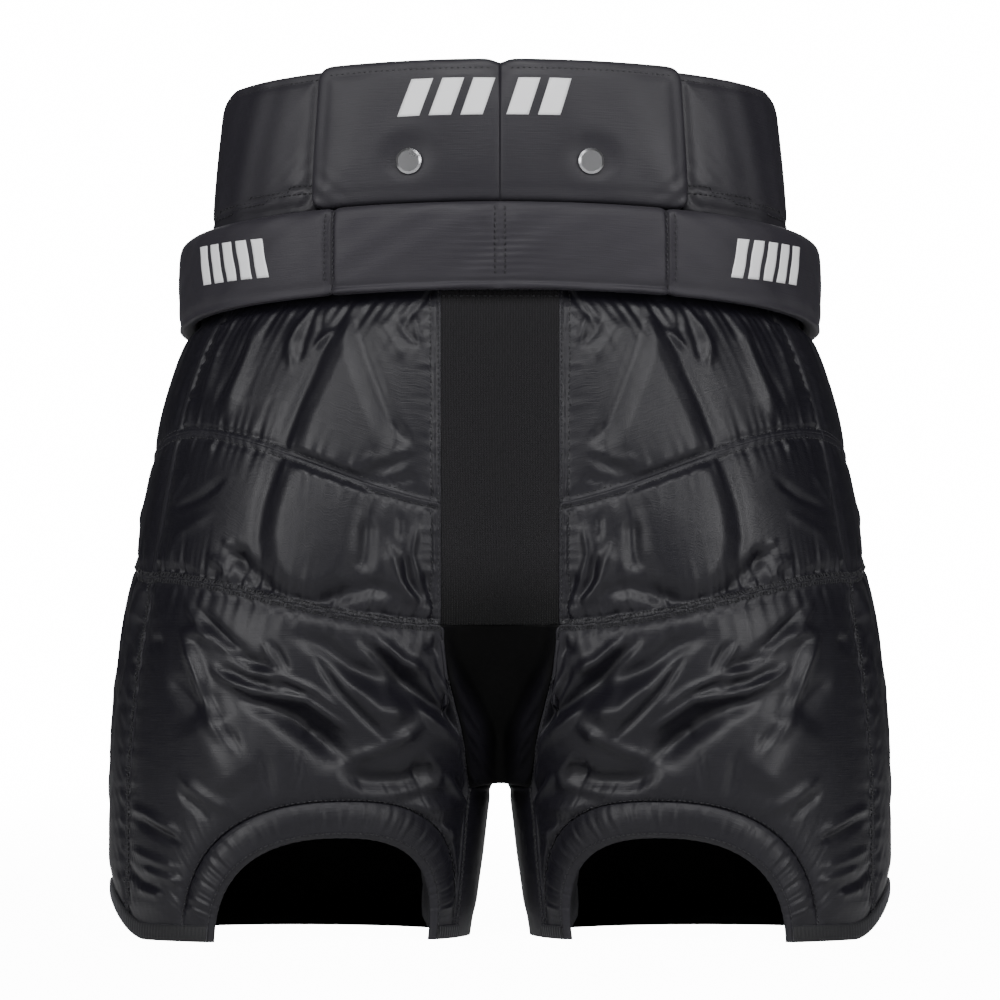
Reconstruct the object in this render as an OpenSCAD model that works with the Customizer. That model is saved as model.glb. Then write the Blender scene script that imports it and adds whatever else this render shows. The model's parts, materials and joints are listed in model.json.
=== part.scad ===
// Goalkeeper's padded ice hockey pants: a nylon shell over foam and plastic guards, a padded
// wrap belt, a raised back pad with suspender studs, and arched cut-outs behind the thighs.
// The wearer faces +Y, and the pants stand on their hems at z = 0.

/* [Overall] */
// Width across both thighs
thigh_span = 519; // [430:1:630]
// Width across the waist, inside the belt
waist_width = 398; // [330:1:480]
// Depth of each thigh, front to back
thigh_depth = 268; // [225:1:325]
// Depth of the waist, inside the belt
waist_depth = 228; // [190:1:275]

/* [Heights] */
// From the hems to the crotch
inseam = 100; // [84:1:120]
// From the crotch to the belt's lower edge
rise = 302; // [255:1:365]
// Width of the wrap belt
belt_width = 58; // [48:1:70]
// How far the back pad stands above the belt
back_pad_rise = 97; // [80:1:118]
// How much the waistline drops for each millimetre towards the front
waist_lean = 0.216; // [0.1:0.01:0.3]

/* [Fabric and padding] */
// Thickness of the quilted nylon shell
shell_wall = 2.4; // [1.6:0.1:4]
// Thickness of the plastic guards
guard_wall = 2.5; // [2:0.1:4]
// Thickness of the thigh foam
thigh_foam_wall = 14; // [10:0.5:18]
// Thickness of the hip, seat and tailbone foam
seat_foam_wall = 14; // [10:0.5:16]
// Thickness of the belt's cover and foam together
belt_wall = 13; // [9:0.5:17]
// Thickness of the back pad's raised centre
back_pad_wall = 10; // [7:0.5:14]
// Thickness of the inner lining
lining_wall = 1.2; // [0.8:0.1:2]

/* [Openings and seams] */
// Height of the arch behind each thigh
arch_height = 71; // [58:1:86]
// Width of the arch at the hem
arch_width = 178; // [126:1:190]
// Width of the gathered band round the arch
arch_band = 22; // [16:1:27]
// Width of the stretch panel down the seat
stretch_width = 78; // [62:1:96]
// Width of the front fly
fly_width = 56; // [44:1:68]
// Height of the side hem above the floor
side_hem_lift = 27; // [10:1:34]

/* [Fasteners] */
// Distance between the two studs on the back pad
stud_spacing = 117; // [95:1:142]
// Diameter of a stud's cap
stud_cap_d = 17; // [14:0.5:20]
// Diameter of a suspender button's head
button_d = 19; // [16:0.5:23]
// Diameter of the posts through the fabric
post_d = 4; // [3:0.1:5]
// Outer diameter of a lace eyelet
eyelet_d = 12; // [10:0.5:14]
// Length of the belt's closing tab
tab_length = 118; // [96:1:138]

/* [Hidden] */
$fn = 48;

// clearances: between layers, under the belt for the gathered shell, and between bodies
layer_gap = 1;
gather_gap = 2;
face_gap = 0.6;
seam_gap = 0.6;
body_gap = 1;

// garment heights, measured along the garment and not along z
belt_low = inseam + rise;
belt_high = belt_low + belt_width;
pad_high = belt_high + back_pad_rise;
fold_low = inseam + 0.54 * rise;
fold_high = fold_low + 48;
shell_top = belt_low + 8;
front_top = belt_high + 25;
crotch_angle = 152;
side_angle = 25;

// layers, measured inwards from the outside of the shell
guard_depth = shell_wall + layer_gap;
foam_depth = guard_depth + guard_wall + layer_gap;
lining_depth = foam_depth + max(thigh_foam_wall, seat_foam_wall) + 2 * layer_gap;
belt_inside = -gather_gap;
belt_outside = belt_inside - belt_wall;
pad_inside = 13;

// ---- the garment's surface ------------------------------------------------------------

thigh_half = thigh_span / 2;
waist_half = waist_width / 2;
crotch_gap = 5;

// stations up the garment: height, half width, half depth, distance from the middle to the leg's axis
stations = let (t = thigh_half, w = waist_half, td = thigh_depth / 2, wd = waist_depth / 2)
    [
        [0, t, td - 2, (t + 20) / 2],
        [inseam * 0.5, t, td, (t + 13) / 2],
        [inseam, t - 0.5, td + 2, (t + crotch_gap) / 2],
        [inseam + rise * 0.165, t - 3, td + 4, 0.455 * t],
        [inseam + rise * 0.415, t - 12.5, td + 6, 0.377 * t],
        [inseam + rise * 0.63, t - 23, td + 2, 0.289 * t],
        [inseam + rise * 0.78, t - 31, td - 4, 0.193 * t],
        [inseam + rise * 0.92, w + 17, wd + 10, 0.08 * t],
        [belt_low - 8, w + 10, wd + 5, 0.03 * t],
        [belt_low + 6, w + 1, wd / 1, 0],
        [belt_high, w, wd, 0],
        [pad_high, w - 9, wd - 4, 0],
    ];

function station_below(h, i = 0) =
    i >= len(stations) - 2 || h < stations[i + 1][0] ? i : station_below(h, i + 1);

function slope(i) = (stations[i + 1] - stations[i]) / (stations[i + 1][0] - stations[i][0]);

// tangent at a station, which never overshoots its neighbours
function tangent(i) =
    i == 0 ? slope(0)
    : i == len(stations) - 1 ? slope(i - 1)
    : let (before = slope(i - 1), after = slope(i))
        [for (k = [0:3]) before[k] * after[k] <= 0 ? 0 : 2 * before[k] * after[k] / (before[k] + after[k])];

tangents = [for (i = [0:len(stations) - 1]) tangent(i)];

// smooth curve through the stations
function shape_at(h) =
    let (
        i = station_below(h),
        span = stations[i + 1][0] - stations[i][0],
        s = (h - stations[i][0]) / span,
        s2 = s * s,
        s3 = s2 * s
    )
    stations[i] * (2 * s3 - 3 * s2 + 1) + tangents[i] * span * (s3 - 2 * s2 + s)
        + stations[i + 1] * (3 * s2 - 2 * s3) + tangents[i + 1] * span * (s3 - s2);

function ease(s) = let (c = min(max(s, 0), 1)) c * c * (3 - 2 * c);
function lean_at(h) = waist_lean * ease((h - inseam * 1.5) / (belt_low - inseam * 1.5));
function mix(a, b, s) = a + (b - a) * s;

// a point on the left half: angle 0 is the outer side, -90 the back and +90 the front
function skin(angle, h, depth = 0) =
    let (
        s = shape_at(h),
        across = s[1] - s[3] - depth,
        y = (s[2] - depth) * sin(angle)
    )
    [-(s[3] + across * cos(angle)), y, h - lean_at(h) * y];

// the same surface on both halves: past the middle it mirrors the left half
function around(turn, h, depth = 0) =
    let (past = abs(turn) > 90, p = skin(past ? sign(turn) * 180 - turn : turn, h, depth))
    [abs(turn) == 90 ? 0 : past ? -p[0] : p[0], p[1], p[2]];

// the angle at which the surface is x away from the middle
function angle_at(x, h, depth = 0) =
    let (s = shape_at(h))
    acos(min(max((x - s[3]) / (s[1] - s[3] - depth), -1), 1));

// half width of the panel down the middle: narrow at the crotch, full width higher up
function middle_half(h, full) =
    let (s = shape_at(inseam), narrow = s[3] + (s[1] - s[3]) * cos(crotch_angle))
    mix(narrow, full / 2, ease((h - inseam) / (rise * 0.365)));

// the angle at which a leg's outer panels end and the inner or middle ones begin
function edge_angle(h, full) =
    h <= inseam ? crotch_angle + 5 * (1 - h / inseam) : angle_at(middle_half(h, full), h);

// ---- panels -----------------------------------------------------------------------------

// a closed solid between two depths: place(i, j, depth) is a point, with i and j from 0 to 1
module quilt(place, outer, inner, columns, rows) {
    stride = columns + 1;
    layer = stride * (rows + 1);
    points = [
        for (depth = [outer, inner], j = [0:rows], i = [0:columns])
            place(i / columns, j / rows, depth)
    ];
    function at(i, j, k) = k * layer + j * stride + i;
    function square_faces(a, b, c, d) = [[a, b, c], [a, c, d]];
    faces = [
        for (j = [0:rows - 1], i = [0:columns - 1])
            each square_faces(at(i, j, 0), at(i + 1, j, 0), at(i + 1, j + 1, 0), at(i, j + 1, 0)),
        for (j = [0:rows - 1], i = [0:columns - 1])
            each square_faces(at(i, j, 1), at(i, j + 1, 1), at(i + 1, j + 1, 1), at(i + 1, j, 1)),
        for (i = [0:columns - 1])
            each square_faces(at(i, 0, 0), at(i, 0, 1), at(i + 1, 0, 1), at(i + 1, 0, 0)),
        for (i = [0:columns - 1])
            each square_faces(at(i, rows, 0), at(i + 1, rows, 0), at(i + 1, rows, 1), at(i, rows, 1)),
        for (j = [0:rows - 1])
            each square_faces(at(0, j, 0), at(0, j + 1, 0), at(0, j + 1, 1), at(0, j, 1)),
        for (j = [0:rows - 1])
            each square_faces(at(columns, j, 0), at(columns, j, 1), at(columns, j + 1, 1), at(columns, j + 1, 0)),
    ];
    polyhedron(points, faces);
}

// a panel between two angles and two heights, each of which may vary
function panel(from, to, low, high) =
    function (i, j, depth)
        let (
            a1 = mix(from(inseam), to(inseam), i),
            h1 = mix(low(a1), high(a1), j),
            a2 = mix(from(h1), to(h1), i),
            h2 = mix(low(a2), high(a2), j),
            a3 = mix(from(h2), to(h2), i),
            h3 = mix(low(a3), high(a3), j),
            angle = mix(from(h3), to(h3), i)
        )
        skin(angle, mix(low(angle), high(angle), j), depth);

function fixed(value) = function (any) value;
back_edge = function (h) -edge_angle(h, stretch_width);
front_edge = function (h) edge_angle(h, fly_width);

// places a piece on the left half, standing outwards on the surface
module stand_on(angle, h, depth) {
    here = skin(angle, h, depth);
    along = skin(angle + 0.5, h, depth) - skin(angle - 0.5, h, depth);
    up = skin(angle, h + 1, depth) - skin(angle, h - 1, depth);
    normal = cross(up, along) / norm(cross(up, along));
    translate(here)
        rotate([0, acos(normal[2]), atan2(normal[1], normal[0])])
            children();
}

module right_half() {
    mirror([1, 0, 0]) children();
}

// ---- seams and hems ----------------------------------------------------------------------

// seams across the seat run lower towards the middle
function seat_seam(side_h, middle_h) =
    function (angle) mix(side_h, middle_h, ease((-angle - side_angle) / 90));
lower_seam = seat_seam(inseam + 0.45 * rise, inseam + 0.35 * rise);
upper_seam = seat_seam(inseam + 0.745 * rise, inseam + 0.573 * rise);
gusset_top = lower_seam(-180);
lower_hip_seam = function (angle)
    mix(lower_seam(-side_angle), fold_low, ease((angle + side_angle) / 50));
upper_hip_seam = function (angle)
    mix(upper_seam(-side_angle), fold_high, ease((angle + side_angle) / 50));

// the hem lifts at the outer side of the thigh
hem = function (angle) side_hem_lift * (1 - ease(abs(angle) / 40));

// the arch behind the thigh, in a flat chart of the surface: 1 degree is arch_scale mm
arch_middle = -104;
arch_scale = thigh_depth * PI / 360 * 0.96;
arch_steps = 28;
foot_steps = 4;
function blunt(value) = sign(value) * pow(abs(value), 0.85);
function arch_point(turn, out) = [
    arch_middle + (arch_width / 2 + out) * blunt(cos(turn)) / arch_scale,
    (arch_height + out) * blunt(sin(turn)),
];

module arch_facing() {
    place = function (i, j, depth)
        let (p = arch_point(180 * (1 - i), arch_band * j))
        skin(p[0], p[1], depth);
    color([0.12, 0.12, 0.13]) quilt(place, 0, shell_wall, arch_steps, 1);
}

// the rear panel's lower edge, from the inner leg over the arch to the side: angle and height
function rear_edge(k) =
    let (
        out = arch_band + seam_gap,
        inner = arch_point(180, out)[0],
        outer = arch_point(0, out)[0],
        past = k - foot_steps - arch_steps
    )
    k < foot_steps ? [mix(back_edge(0), inner, k / foot_steps), 0]
    : past <= 0 ? arch_point(180 * -past / arch_steps, out)
    : let (angle = mix(outer, -side_angle, past / foot_steps)) [angle, hem(angle)];

module rear_thigh_panel() {
    steps = arch_steps + 2 * foot_steps;
    place = function (i, j, depth)
        let (
            start = rear_edge(round(i * steps)),
            reach = back_edge(start[1]),
            share = (start[0] - reach) / (-side_angle - reach),
            a1 = mix(back_edge(gusset_top), -side_angle, share),
            h1 = mix(start[1], lower_seam(a1), j),
            a2 = mix(back_edge(h1), -side_angle, share),
            h2 = mix(start[1], lower_seam(a2), j),
            angle = mix(back_edge(h2), -side_angle, share)
        )
        skin(angle, mix(start[1], lower_seam(angle), j), depth);
    color([0.1, 0.1, 0.11]) quilt(place, 0, shell_wall, steps, 10);
}

module side_thigh_panel() {
    color([0.1, 0.1, 0.11])
        quilt(panel(fixed(-side_angle), fixed(side_angle), hem, lower_hip_seam), 0, shell_wall, 8, 10);
}

module front_thigh_panel() {
    color([0.1, 0.1, 0.11])
        quilt(panel(fixed(side_angle), front_edge, hem, lower_hip_seam), 0, shell_wall, 16, 10);
}

module inner_leg_panel() {
    place = function (i, j, depth)
        let (h = mix(0, inseam - 4, j), edge = edge_angle(h, stretch_width))
        skin(mix(edge, 360 - edge, i), h, depth);
    color([0.1, 0.1, 0.11]) quilt(place, 0, shell_wall, 6, 3);
}

module front_hem_binding() {
    place = function (i, j, depth)
        let (angle = mix(side_angle + 18, crotch_angle, i)) skin(angle, mix(0, 12, j), depth);
    color([0.08, 0.08, 0.08]) quilt(place, -face_gap - 1.2, -face_gap, 14, 1);
}

// ---- padding in the legs ------------------------------------------------------------------

// as far round the front of the thigh as the limit, but short of the middle
function front_to(limit, short) = function (h) min(limit, front_edge(h) - short);

module thigh_guard() {
    color([0.15, 0.15, 0.16])
        quilt(panel(fixed(side_angle + 9), front_to(128, 10), fixed(24), fixed(fold_low - 22)),
            guard_depth, guard_depth + guard_wall, 14, 9);
}

module thigh_foam() {
    color([0.85, 0.85, 0.82])
        quilt(panel(fixed(3 - side_angle), front_to(134, 6), fixed(38), fixed(fold_low - 16)),
            foam_depth, foam_depth + thigh_foam_wall, 14, 5);
}

// the lining stops above the arch
module leg_lining() {
    low = function (angle)
        let (reach = arch_width / 2 + arch_band, x = abs(angle - arch_middle) * arch_scale / reach)
        6 + (x >= 1 ? 0 : (arch_height + arch_band) * pow(1 - pow(x, 2.35), 0.425));
    from = function (h) back_edge(h) + 7;
    color([0.03, 0.03, 0.03])
        quilt(panel(from, front_to(360, 7), low, fixed(gusset_top - 12)), lining_depth,
            lining_depth + lining_wall, 30, 4);
}

// ---- the middle of the seat and the crotch -------------------------------------------------

cleft = 12;

module stretch_seat_panel() {
    place = function (i, j, depth)
        let (
            h = mix(gusset_top, shell_top, j),
            half = middle_half(h, stretch_width) - seam_gap / 2,
            edge = skin(-angle_at(half, h), h),
            across = 1 - 2 * i,
            dip = cleft * ease((belt_low - h) / (belt_low - gusset_top)) * (1 - across * across)
        )
        [across * half, edge[1] + dip + depth, edge[2]];
    color([0.06, 0.06, 0.06]) quilt(place, 0, shell_wall, 8, 8);
}

// the gusset runs from the stretch panel under the crotch and up to the fold in front
module crotch_gusset() {
    path = [
        [-1, gusset_top - seam_gap],
        [-1, mix(gusset_top, inseam, 0.33)],
        [-1, mix(gusset_top, inseam, 0.67)],
        [-1, inseam],
        [-0.5, inseam],
        [0, inseam],
        [0.5, inseam],
        [1, inseam],
        [1, mix(fold_low, inseam, 0.67)],
        [1, mix(fold_low, inseam, 0.33)],
        [1, fold_low],
    ];
    function edge(p) =
        abs(p[0]) == 1
            ? skin(p[0] * edge_angle(p[1], p[0] < 0 ? stretch_width : fly_width), p[1])
            : skin(p[0] == 0 ? 180 : sign(p[0]) * mix(180, crotch_angle, abs(p[0]) * 0.7), p[1]);
    steps = len(path) - 1;
    place = function (i, j, depth)
        let (
            k = round(j * steps),
            here = edge(path[k]),
            before = edge(path[max(k - 1, 0)]),
            after = edge(path[min(k + 1, steps)]),
            ends = k == 0 ? -1 : k == steps ? 1 : 0,
            way = ends != 0 ? [0, 0, ends] : [0, after[1] - before[1], after[2] - before[2]],
            inwards = [0, -way[2], way[1]] / norm(way),
            across = 2 * i - 1
        )
        [across * (abs(here[0]) - seam_gap / 2), here[1], here[2]]
            + inwards * (depth + mix(cleft, 4, min(1, 2.5 * j)) * (1 - across * across));
    color([0.08, 0.08, 0.09]) quilt(place, 0, shell_wall, 4, steps);
}

// ---- fabric that folds at the hips -----------------------------------------------------------

module mid_seat_panel() {
    low = function (angle) lower_seam(angle) + seam_gap;
    high = function (angle) upper_seam(angle) - seam_gap;
    color([0.1, 0.1, 0.11])
        quilt(panel(back_edge, fixed(-side_angle), low, high), 0, shell_wall, 12, 3);
}

module mid_hip_panel() {
    low = function (angle) lower_hip_seam(angle) + seam_gap;
    high = function (angle) upper_hip_seam(angle) - seam_gap;
    to = function (h) angle_at(seam_gap / 2, h);
    color([0.1, 0.1, 0.11])
        quilt(panel(fixed(-side_angle), to, low, high), 0, shell_wall, 16, 2);
}

// ---- the upper shell --------------------------------------------------------------------------

module upper_seat_panel() {
    color([0.1, 0.1, 0.11])
        quilt(panel(back_edge, fixed(-side_angle), upper_seam, fixed(shell_top)), 0, shell_wall, 12, 8);
}

eyelet_rows = 4;
eyelet_inset = 9;
function eyelet_h(row) = mix(fold_high + 18, belt_low - 14, row / (eyelet_rows - 1));
function eyelet_angle(h) = angle_at(fly_width / 2 + eyelet_inset, h);
eyelet_barrel_d = eyelet_d * 0.58;
eyelet_bore_d = eyelet_d * 0.42;

module on_each_eyelet() {
    for (row = [0:eyelet_rows - 1])
        let (h = eyelet_h(row)) stand_on(eyelet_angle(h), h, 0) children();
}

module upper_hip_panel() {
    color([0.1, 0.1, 0.11]) difference() {
        quilt(panel(fixed(-side_angle), front_edge, upper_hip_seam, fixed(shell_top)), 0, shell_wall, 24, 8);
        on_each_eyelet()
            cylinder(d = eyelet_barrel_d + 0.4, h = 4 * shell_wall, center = true);
    }
}

module lace_eyelet() {
    difference() {
        union() {
            translate([0, 0, 0.3]) cylinder(d = eyelet_d, h = 1.2);
            translate([0, 0, -shell_wall - 0.8]) cylinder(d = eyelet_barrel_d, h = shell_wall + 1.5);
        }
        cylinder(d = eyelet_bore_d, h = 6 * shell_wall, center = true);
    }
}

module lace_eyelets() {
    color([0.75, 0.75, 0.77]) {
        on_each_eyelet() lace_eyelet();
        right_half() on_each_eyelet() lace_eyelet();
    }
}

module fly_placket() {
    place = function (i, j, depth)
        let (
            h = mix(fold_high + seam_gap, shell_top, j),
            half = fly_width / 2 - seam_gap,
            edge = skin(angle_at(half, h), h),
            across = 2 * i - 1
        )
        [across * half, edge[1] - depth, edge[2]];
    color([0.09, 0.09, 0.1]) quilt(place, 0, shell_wall, 4, 5);
}

module front_waistband() {
    high = function (angle) mix(belt_high - body_gap, front_top, ease((angle - 8) / 14));
    color([0.1, 0.1, 0.11])
        quilt(panel(fixed(-40), fixed(89.7), fixed(shell_top + seam_gap), high), 0, shell_wall, 16, 3);
}

button_neck_d = button_d * 0.42;
button_angles = [62, 77];

// a suspender button: a riveted post, a neck and a head, standing on the fabric
module suspender_button() {
    cylinder(d = button_d * 0.7, h = 1.2);
    cylinder(d = button_neck_d, h = 4.6);
    translate([0, 0, 4.6]) cylinder(d = button_d, h = 2.6);
}

module front_suspender_buttons() {
    module pair() {
        for (angle = button_angles)
            stand_on(angle, mix(belt_high, front_top, 0.55), -face_gap) suspender_button();
    }
    color([0.13, 0.13, 0.14]) {
        pair();
        right_half() pair();
    }
}

// ---- padding round the hips and seat --------------------------------------------------------

hip_angles = [-32, 20];
hip_heights = [upper_seam(-side_angle) + 12, belt_low - 22];

module hip_cap() {
    color([0.15, 0.15, 0.16])
        quilt(panel(fixed(hip_angles[0] + 3), fixed(hip_angles[1] - 3), fixed(hip_heights[0] + 5),
            fixed(hip_heights[1] - 5)), guard_depth, guard_depth + guard_wall, 12, 10);
}

module hip_foam() {
    color([0.85, 0.85, 0.82])
        quilt(panel(fixed(hip_angles[0]), fixed(hip_angles[1]), fixed(hip_heights[0]),
            fixed(hip_heights[1])), foam_depth, foam_depth + seat_foam_wall, 12, 10);
}

// drop-shaped pad, broad at the bottom and narrow at the top
module seat_pad() {
    low = inseam + 0.43 * rise;
    high = belt_low - 14;
    place = function (i, j, depth)
        let (
            h = mix(low, high, j),
            x_middle = mix(112, 97, j),
            half = 42 * pow(max(1 - j, 0.03), 0.45) * pow(min(1, j * 3 + 0.12), 0.5),
            reach = shape_at(h),
            x = x_middle + (2 * i - 1) * half
        )
        skin(-acos((x - reach[3]) / (reach[1] - reach[3])), h, depth);
    color([0.85, 0.85, 0.82])
        quilt(place, guard_depth, guard_depth + seat_foam_wall, 8, 8);
}

// a piece across the middle of the seat, behind the stretch panel
module tail_piece(half, low, high, outer, inner) {
    place = function (i, j, depth)
        let (
            h = mix(low, high, j),
            edge = skin(-angle_at(half, h), h),
            across = 1 - 2 * i
        )
        [across * half * mix(0.6, 1, ease(j * 2)), edge[1] + depth, edge[2]];
    quilt(place, outer, inner, 4, 6);
}

tail_low = inseam + 0.56 * rise;
tail_high = belt_low - 16;
tail_depth = 18;

module tailbone_plate() {
    color([0.15, 0.15, 0.16])
        tail_piece(34, tail_low, tail_high, tail_depth, tail_depth + guard_wall);
}

module tailbone_foam() {
    front = tail_depth + guard_wall + layer_gap;
    color([0.85, 0.85, 0.82])
        tail_piece(34, tail_low, tail_high, front, front + 5);
}

module waist_lining() {
    from = function (h) -angle_at(38, h, lining_depth);
    to = function (h) angle_at(8, h, lining_depth);
    low = fixed(fold_high + 18);
    color([0.03, 0.03, 0.03])
        quilt(panel(from, to, low, fixed(belt_low - 10)), lining_depth + 3, lining_depth + 3 + lining_wall, 20, 4);
}

// ---- the wrap belt ---------------------------------------------------------------------------

// rows crowd towards the lip, where the waist flares
function belt_h(j) = mix(belt_low, belt_high, j * j);

belt_joint_x = 112;
belt_end_x = 26;
belt_joint = -angle_at(belt_joint_x, belt_high, belt_outside);

module belt_back() {
    place = function (i, j, depth)
        around(mix(-180 - belt_joint, belt_joint, i), belt_h(j), depth);
    color([0.13, 0.13, 0.14]) quilt(place, belt_outside, belt_inside, 12, 3);
}

module belt_side() {
    to = angle_at(belt_end_x, belt_high, belt_outside);
    place = function (i, j, depth) skin(mix(belt_joint + 0.2, to, i), belt_h(j), depth);
    color([0.13, 0.13, 0.14]) quilt(place, belt_outside, belt_inside, 24, 3);
}

patch_wall = 1.2;
tab_wall = 2;
patch_depth = belt_outside - face_gap;
tab_depth = patch_depth - 2 * patch_wall - face_gap - body_gap;
tab_crease_x = 34;
tab_end_x = tab_crease_x - tab_length;

// a strip across the belt's front, between two distances from the middle, positive to the right
function front_strip(from_x, to_x, margin) =
    function (i, j, depth)
        let (turn = acos(-mix(from_x, to_x, i) / (waist_half - belt_outside)))
        around(turn, mix(belt_low + margin, belt_high - margin, j), depth);

module belt_loop_patch() {
    color([0.05, 0.05, 0.05])
        quilt(front_strip(tab_end_x - 14, -belt_end_x - 3, 10), patch_depth - patch_wall,
            patch_depth, 8, 1);
}

module belt_tab_anchor() {
    color([0.13, 0.13, 0.14])
        quilt(front_strip(tab_crease_x + 0.5, tab_crease_x + 30, 5), tab_depth - tab_wall,
            patch_depth, 4, 1);
}

module belt_tab() {
    color([0.13, 0.13, 0.14])
        quilt(front_strip(tab_end_x, tab_crease_x - 0.5, 5), tab_depth - tab_wall, tab_depth, 12, 1);
}

module tab_hook_patch() {
    color([0.05, 0.05, 0.05])
        quilt(front_strip(tab_end_x + 6, -belt_end_x - 7, 11), tab_depth + 0.3,
            tab_depth + 0.3 + patch_wall, 12, 1);
}

// ---- the back pad ------------------------------------------------------------------------------

pad_half_x = 121;
pad_side_angle = -14;
cover_depth = -back_pad_wall + 2;
plate_depth = 3.4;
wing_in = 0;
wing_out = 9;
pad_front_face = max(wing_out, plate_depth + guard_wall) + face_gap;
pad_back_face = pad_front_face + lining_wall + 1;
stud_angle = -angle_at(stud_spacing / 2, belt_high, 0);
stud_h = mix(belt_high, pad_high, 0.31);
hole_d = post_d + 0.3;

// strip across the back on both halves, between two distances from the middle
function back_strip(half_x, low, high) =
    function (i, j, depth)
        let (edge = angle_at(half_x, belt_high))
        around(mix(edge - 180, -edge, i), mix(low, high, j), depth);

// on the line through each stud, a depth below the surface
module on_each_stud(depth) {
    module one() {
        stand_on(stud_angle, stud_h, 0) translate([0, 0, -depth]) children();
    }
    one() children();
    right_half() one() children();
}

module stud_holes() {
    on_each_stud(0) cylinder(d = hole_d, h = 80, center = true);
}

module back_pad_base() {
    color([0.1, 0.1, 0.11])
        quilt(back_strip(150, shell_top + seam_gap, belt_high - body_gap), 0, pad_inside - 1, 14, 1);
}

module back_pad_wing() {
    low = fixed(belt_high + body_gap);
    high = function (angle) pad_high - 1 - 7 * ease((angle + 22) / 8);
    from = function (h) -angle_at(pad_half_x + body_gap, belt_high);
    color([0.12, 0.12, 0.13])
        quilt(panel(from, fixed(pad_side_angle), low, high), wing_in, wing_out, 12, 3);
}

module back_pad_cover() {
    low = fixed(belt_high + body_gap);
    from = fixed(-90);
    to = function (h) -angle_at(pad_half_x, belt_high);
    color([0.13, 0.13, 0.14]) difference() {
        quilt(panel(from, to, low, fixed(pad_high)), -back_pad_wall, cover_depth, 10, 3);
        stud_holes();
    }
}

module back_pad_foam() {
    color([0.85, 0.85, 0.82]) difference() {
        quilt(back_strip(pad_half_x - 2, belt_high + body_gap + 2, pad_high - 2),
            cover_depth + face_gap, plate_depth - face_gap, 16, 3);
        stud_holes();
    }
}

module back_pad_plate() {
    color([0.15, 0.15, 0.16]) difference() {
        quilt(back_strip(pad_half_x - 8, belt_high + body_gap + 6, pad_high - 8), plate_depth,
            plate_depth + guard_wall, 16, 2);
        stud_holes();
    }
}

module back_pad_lining() {
    color([0.04, 0.04, 0.04]) difference() {
        quilt(back_strip(168, belt_high + body_gap, pad_high - 5), pad_front_face, pad_back_face, 20, 2);
        stud_holes();
    }
}

stud_reach = back_pad_wall + pad_back_face + 2 * face_gap;

module back_pad_stud() {
    cylinder(d = stud_cap_d, h = 1.6);
    translate([0, 0, 1.6]) cylinder(d1 = stud_cap_d, d2 = stud_cap_d - 3, h = 0.9);
    translate([0, 0, -stud_reach]) cylinder(d = post_d, h = stud_reach + 0.5);
}

module back_pad_studs() {
    color([0.78, 0.78, 0.8]) on_each_stud(-back_pad_wall - face_gap) back_pad_stud();
}

module back_suspender_buttons() {
    color([0.13, 0.13, 0.14])
        on_each_stud(pad_back_face + face_gap)
            rotate([180, 0, 0]) suspender_button();
}

// ---- drawing --------------------------------------------------------------------------------

rear_thigh_panel();  // rear_thigh_panel_left
right_half() rear_thigh_panel();  // rear_thigh_panel_right
arch_facing();  // arch_facing_left
right_half() arch_facing();  // arch_facing_right
side_thigh_panel();  // side_thigh_panel_left
right_half() side_thigh_panel();  // side_thigh_panel_right
front_thigh_panel();  // front_thigh_panel_left
right_half() front_thigh_panel();  // front_thigh_panel_right
inner_leg_panel();  // inner_leg_panel_left
right_half() inner_leg_panel();  // inner_leg_panel_right
front_hem_binding();  // front_hem_binding_left
right_half() front_hem_binding();  // front_hem_binding_right
thigh_guard();  // thigh_guard_left
right_half() thigh_guard();  // thigh_guard_right
thigh_foam();  // thigh_foam_left
right_half() thigh_foam();  // thigh_foam_right
leg_lining();  // leg_lining_left
right_half() leg_lining();  // leg_lining_right
crotch_gusset();
mid_seat_panel();  // mid_seat_panel_left
right_half() mid_seat_panel();  // mid_seat_panel_right
mid_hip_panel();  // mid_hip_panel_left
right_half() mid_hip_panel();  // mid_hip_panel_right
stretch_seat_panel();
upper_seat_panel();  // upper_seat_panel_left
right_half() upper_seat_panel();  // upper_seat_panel_right
upper_hip_panel();  // upper_hip_panel_left
right_half() upper_hip_panel();  // upper_hip_panel_right
front_waistband();  // front_waistband_left
right_half() front_waistband();  // front_waistband_right
seat_pad();  // seat_pad_left
right_half() seat_pad();  // seat_pad_right
hip_cap();  // hip_cap_left
right_half() hip_cap();  // hip_cap_right
hip_foam();  // hip_foam_left
right_half() hip_foam();  // hip_foam_right
waist_lining();  // waist_lining_left
right_half() waist_lining();  // waist_lining_right
fly_placket();
lace_eyelets();
front_suspender_buttons();
tailbone_plate();
tailbone_foam();
back_pad_base();
belt_back();
belt_side();  // belt_left
right_half() belt_side();  // belt_right
belt_loop_patch();
back_pad_wing();  // back_pad_wing_left
right_half() back_pad_wing();  // back_pad_wing_right
back_pad_cover();  // back_pad_cover_left
right_half() back_pad_cover();  // back_pad_cover_right
back_pad_foam();
back_pad_plate();
back_pad_lining();
back_pad_studs();
back_suspender_buttons();
belt_tab_anchor();
belt_tab();
tab_hook_patch();
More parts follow.
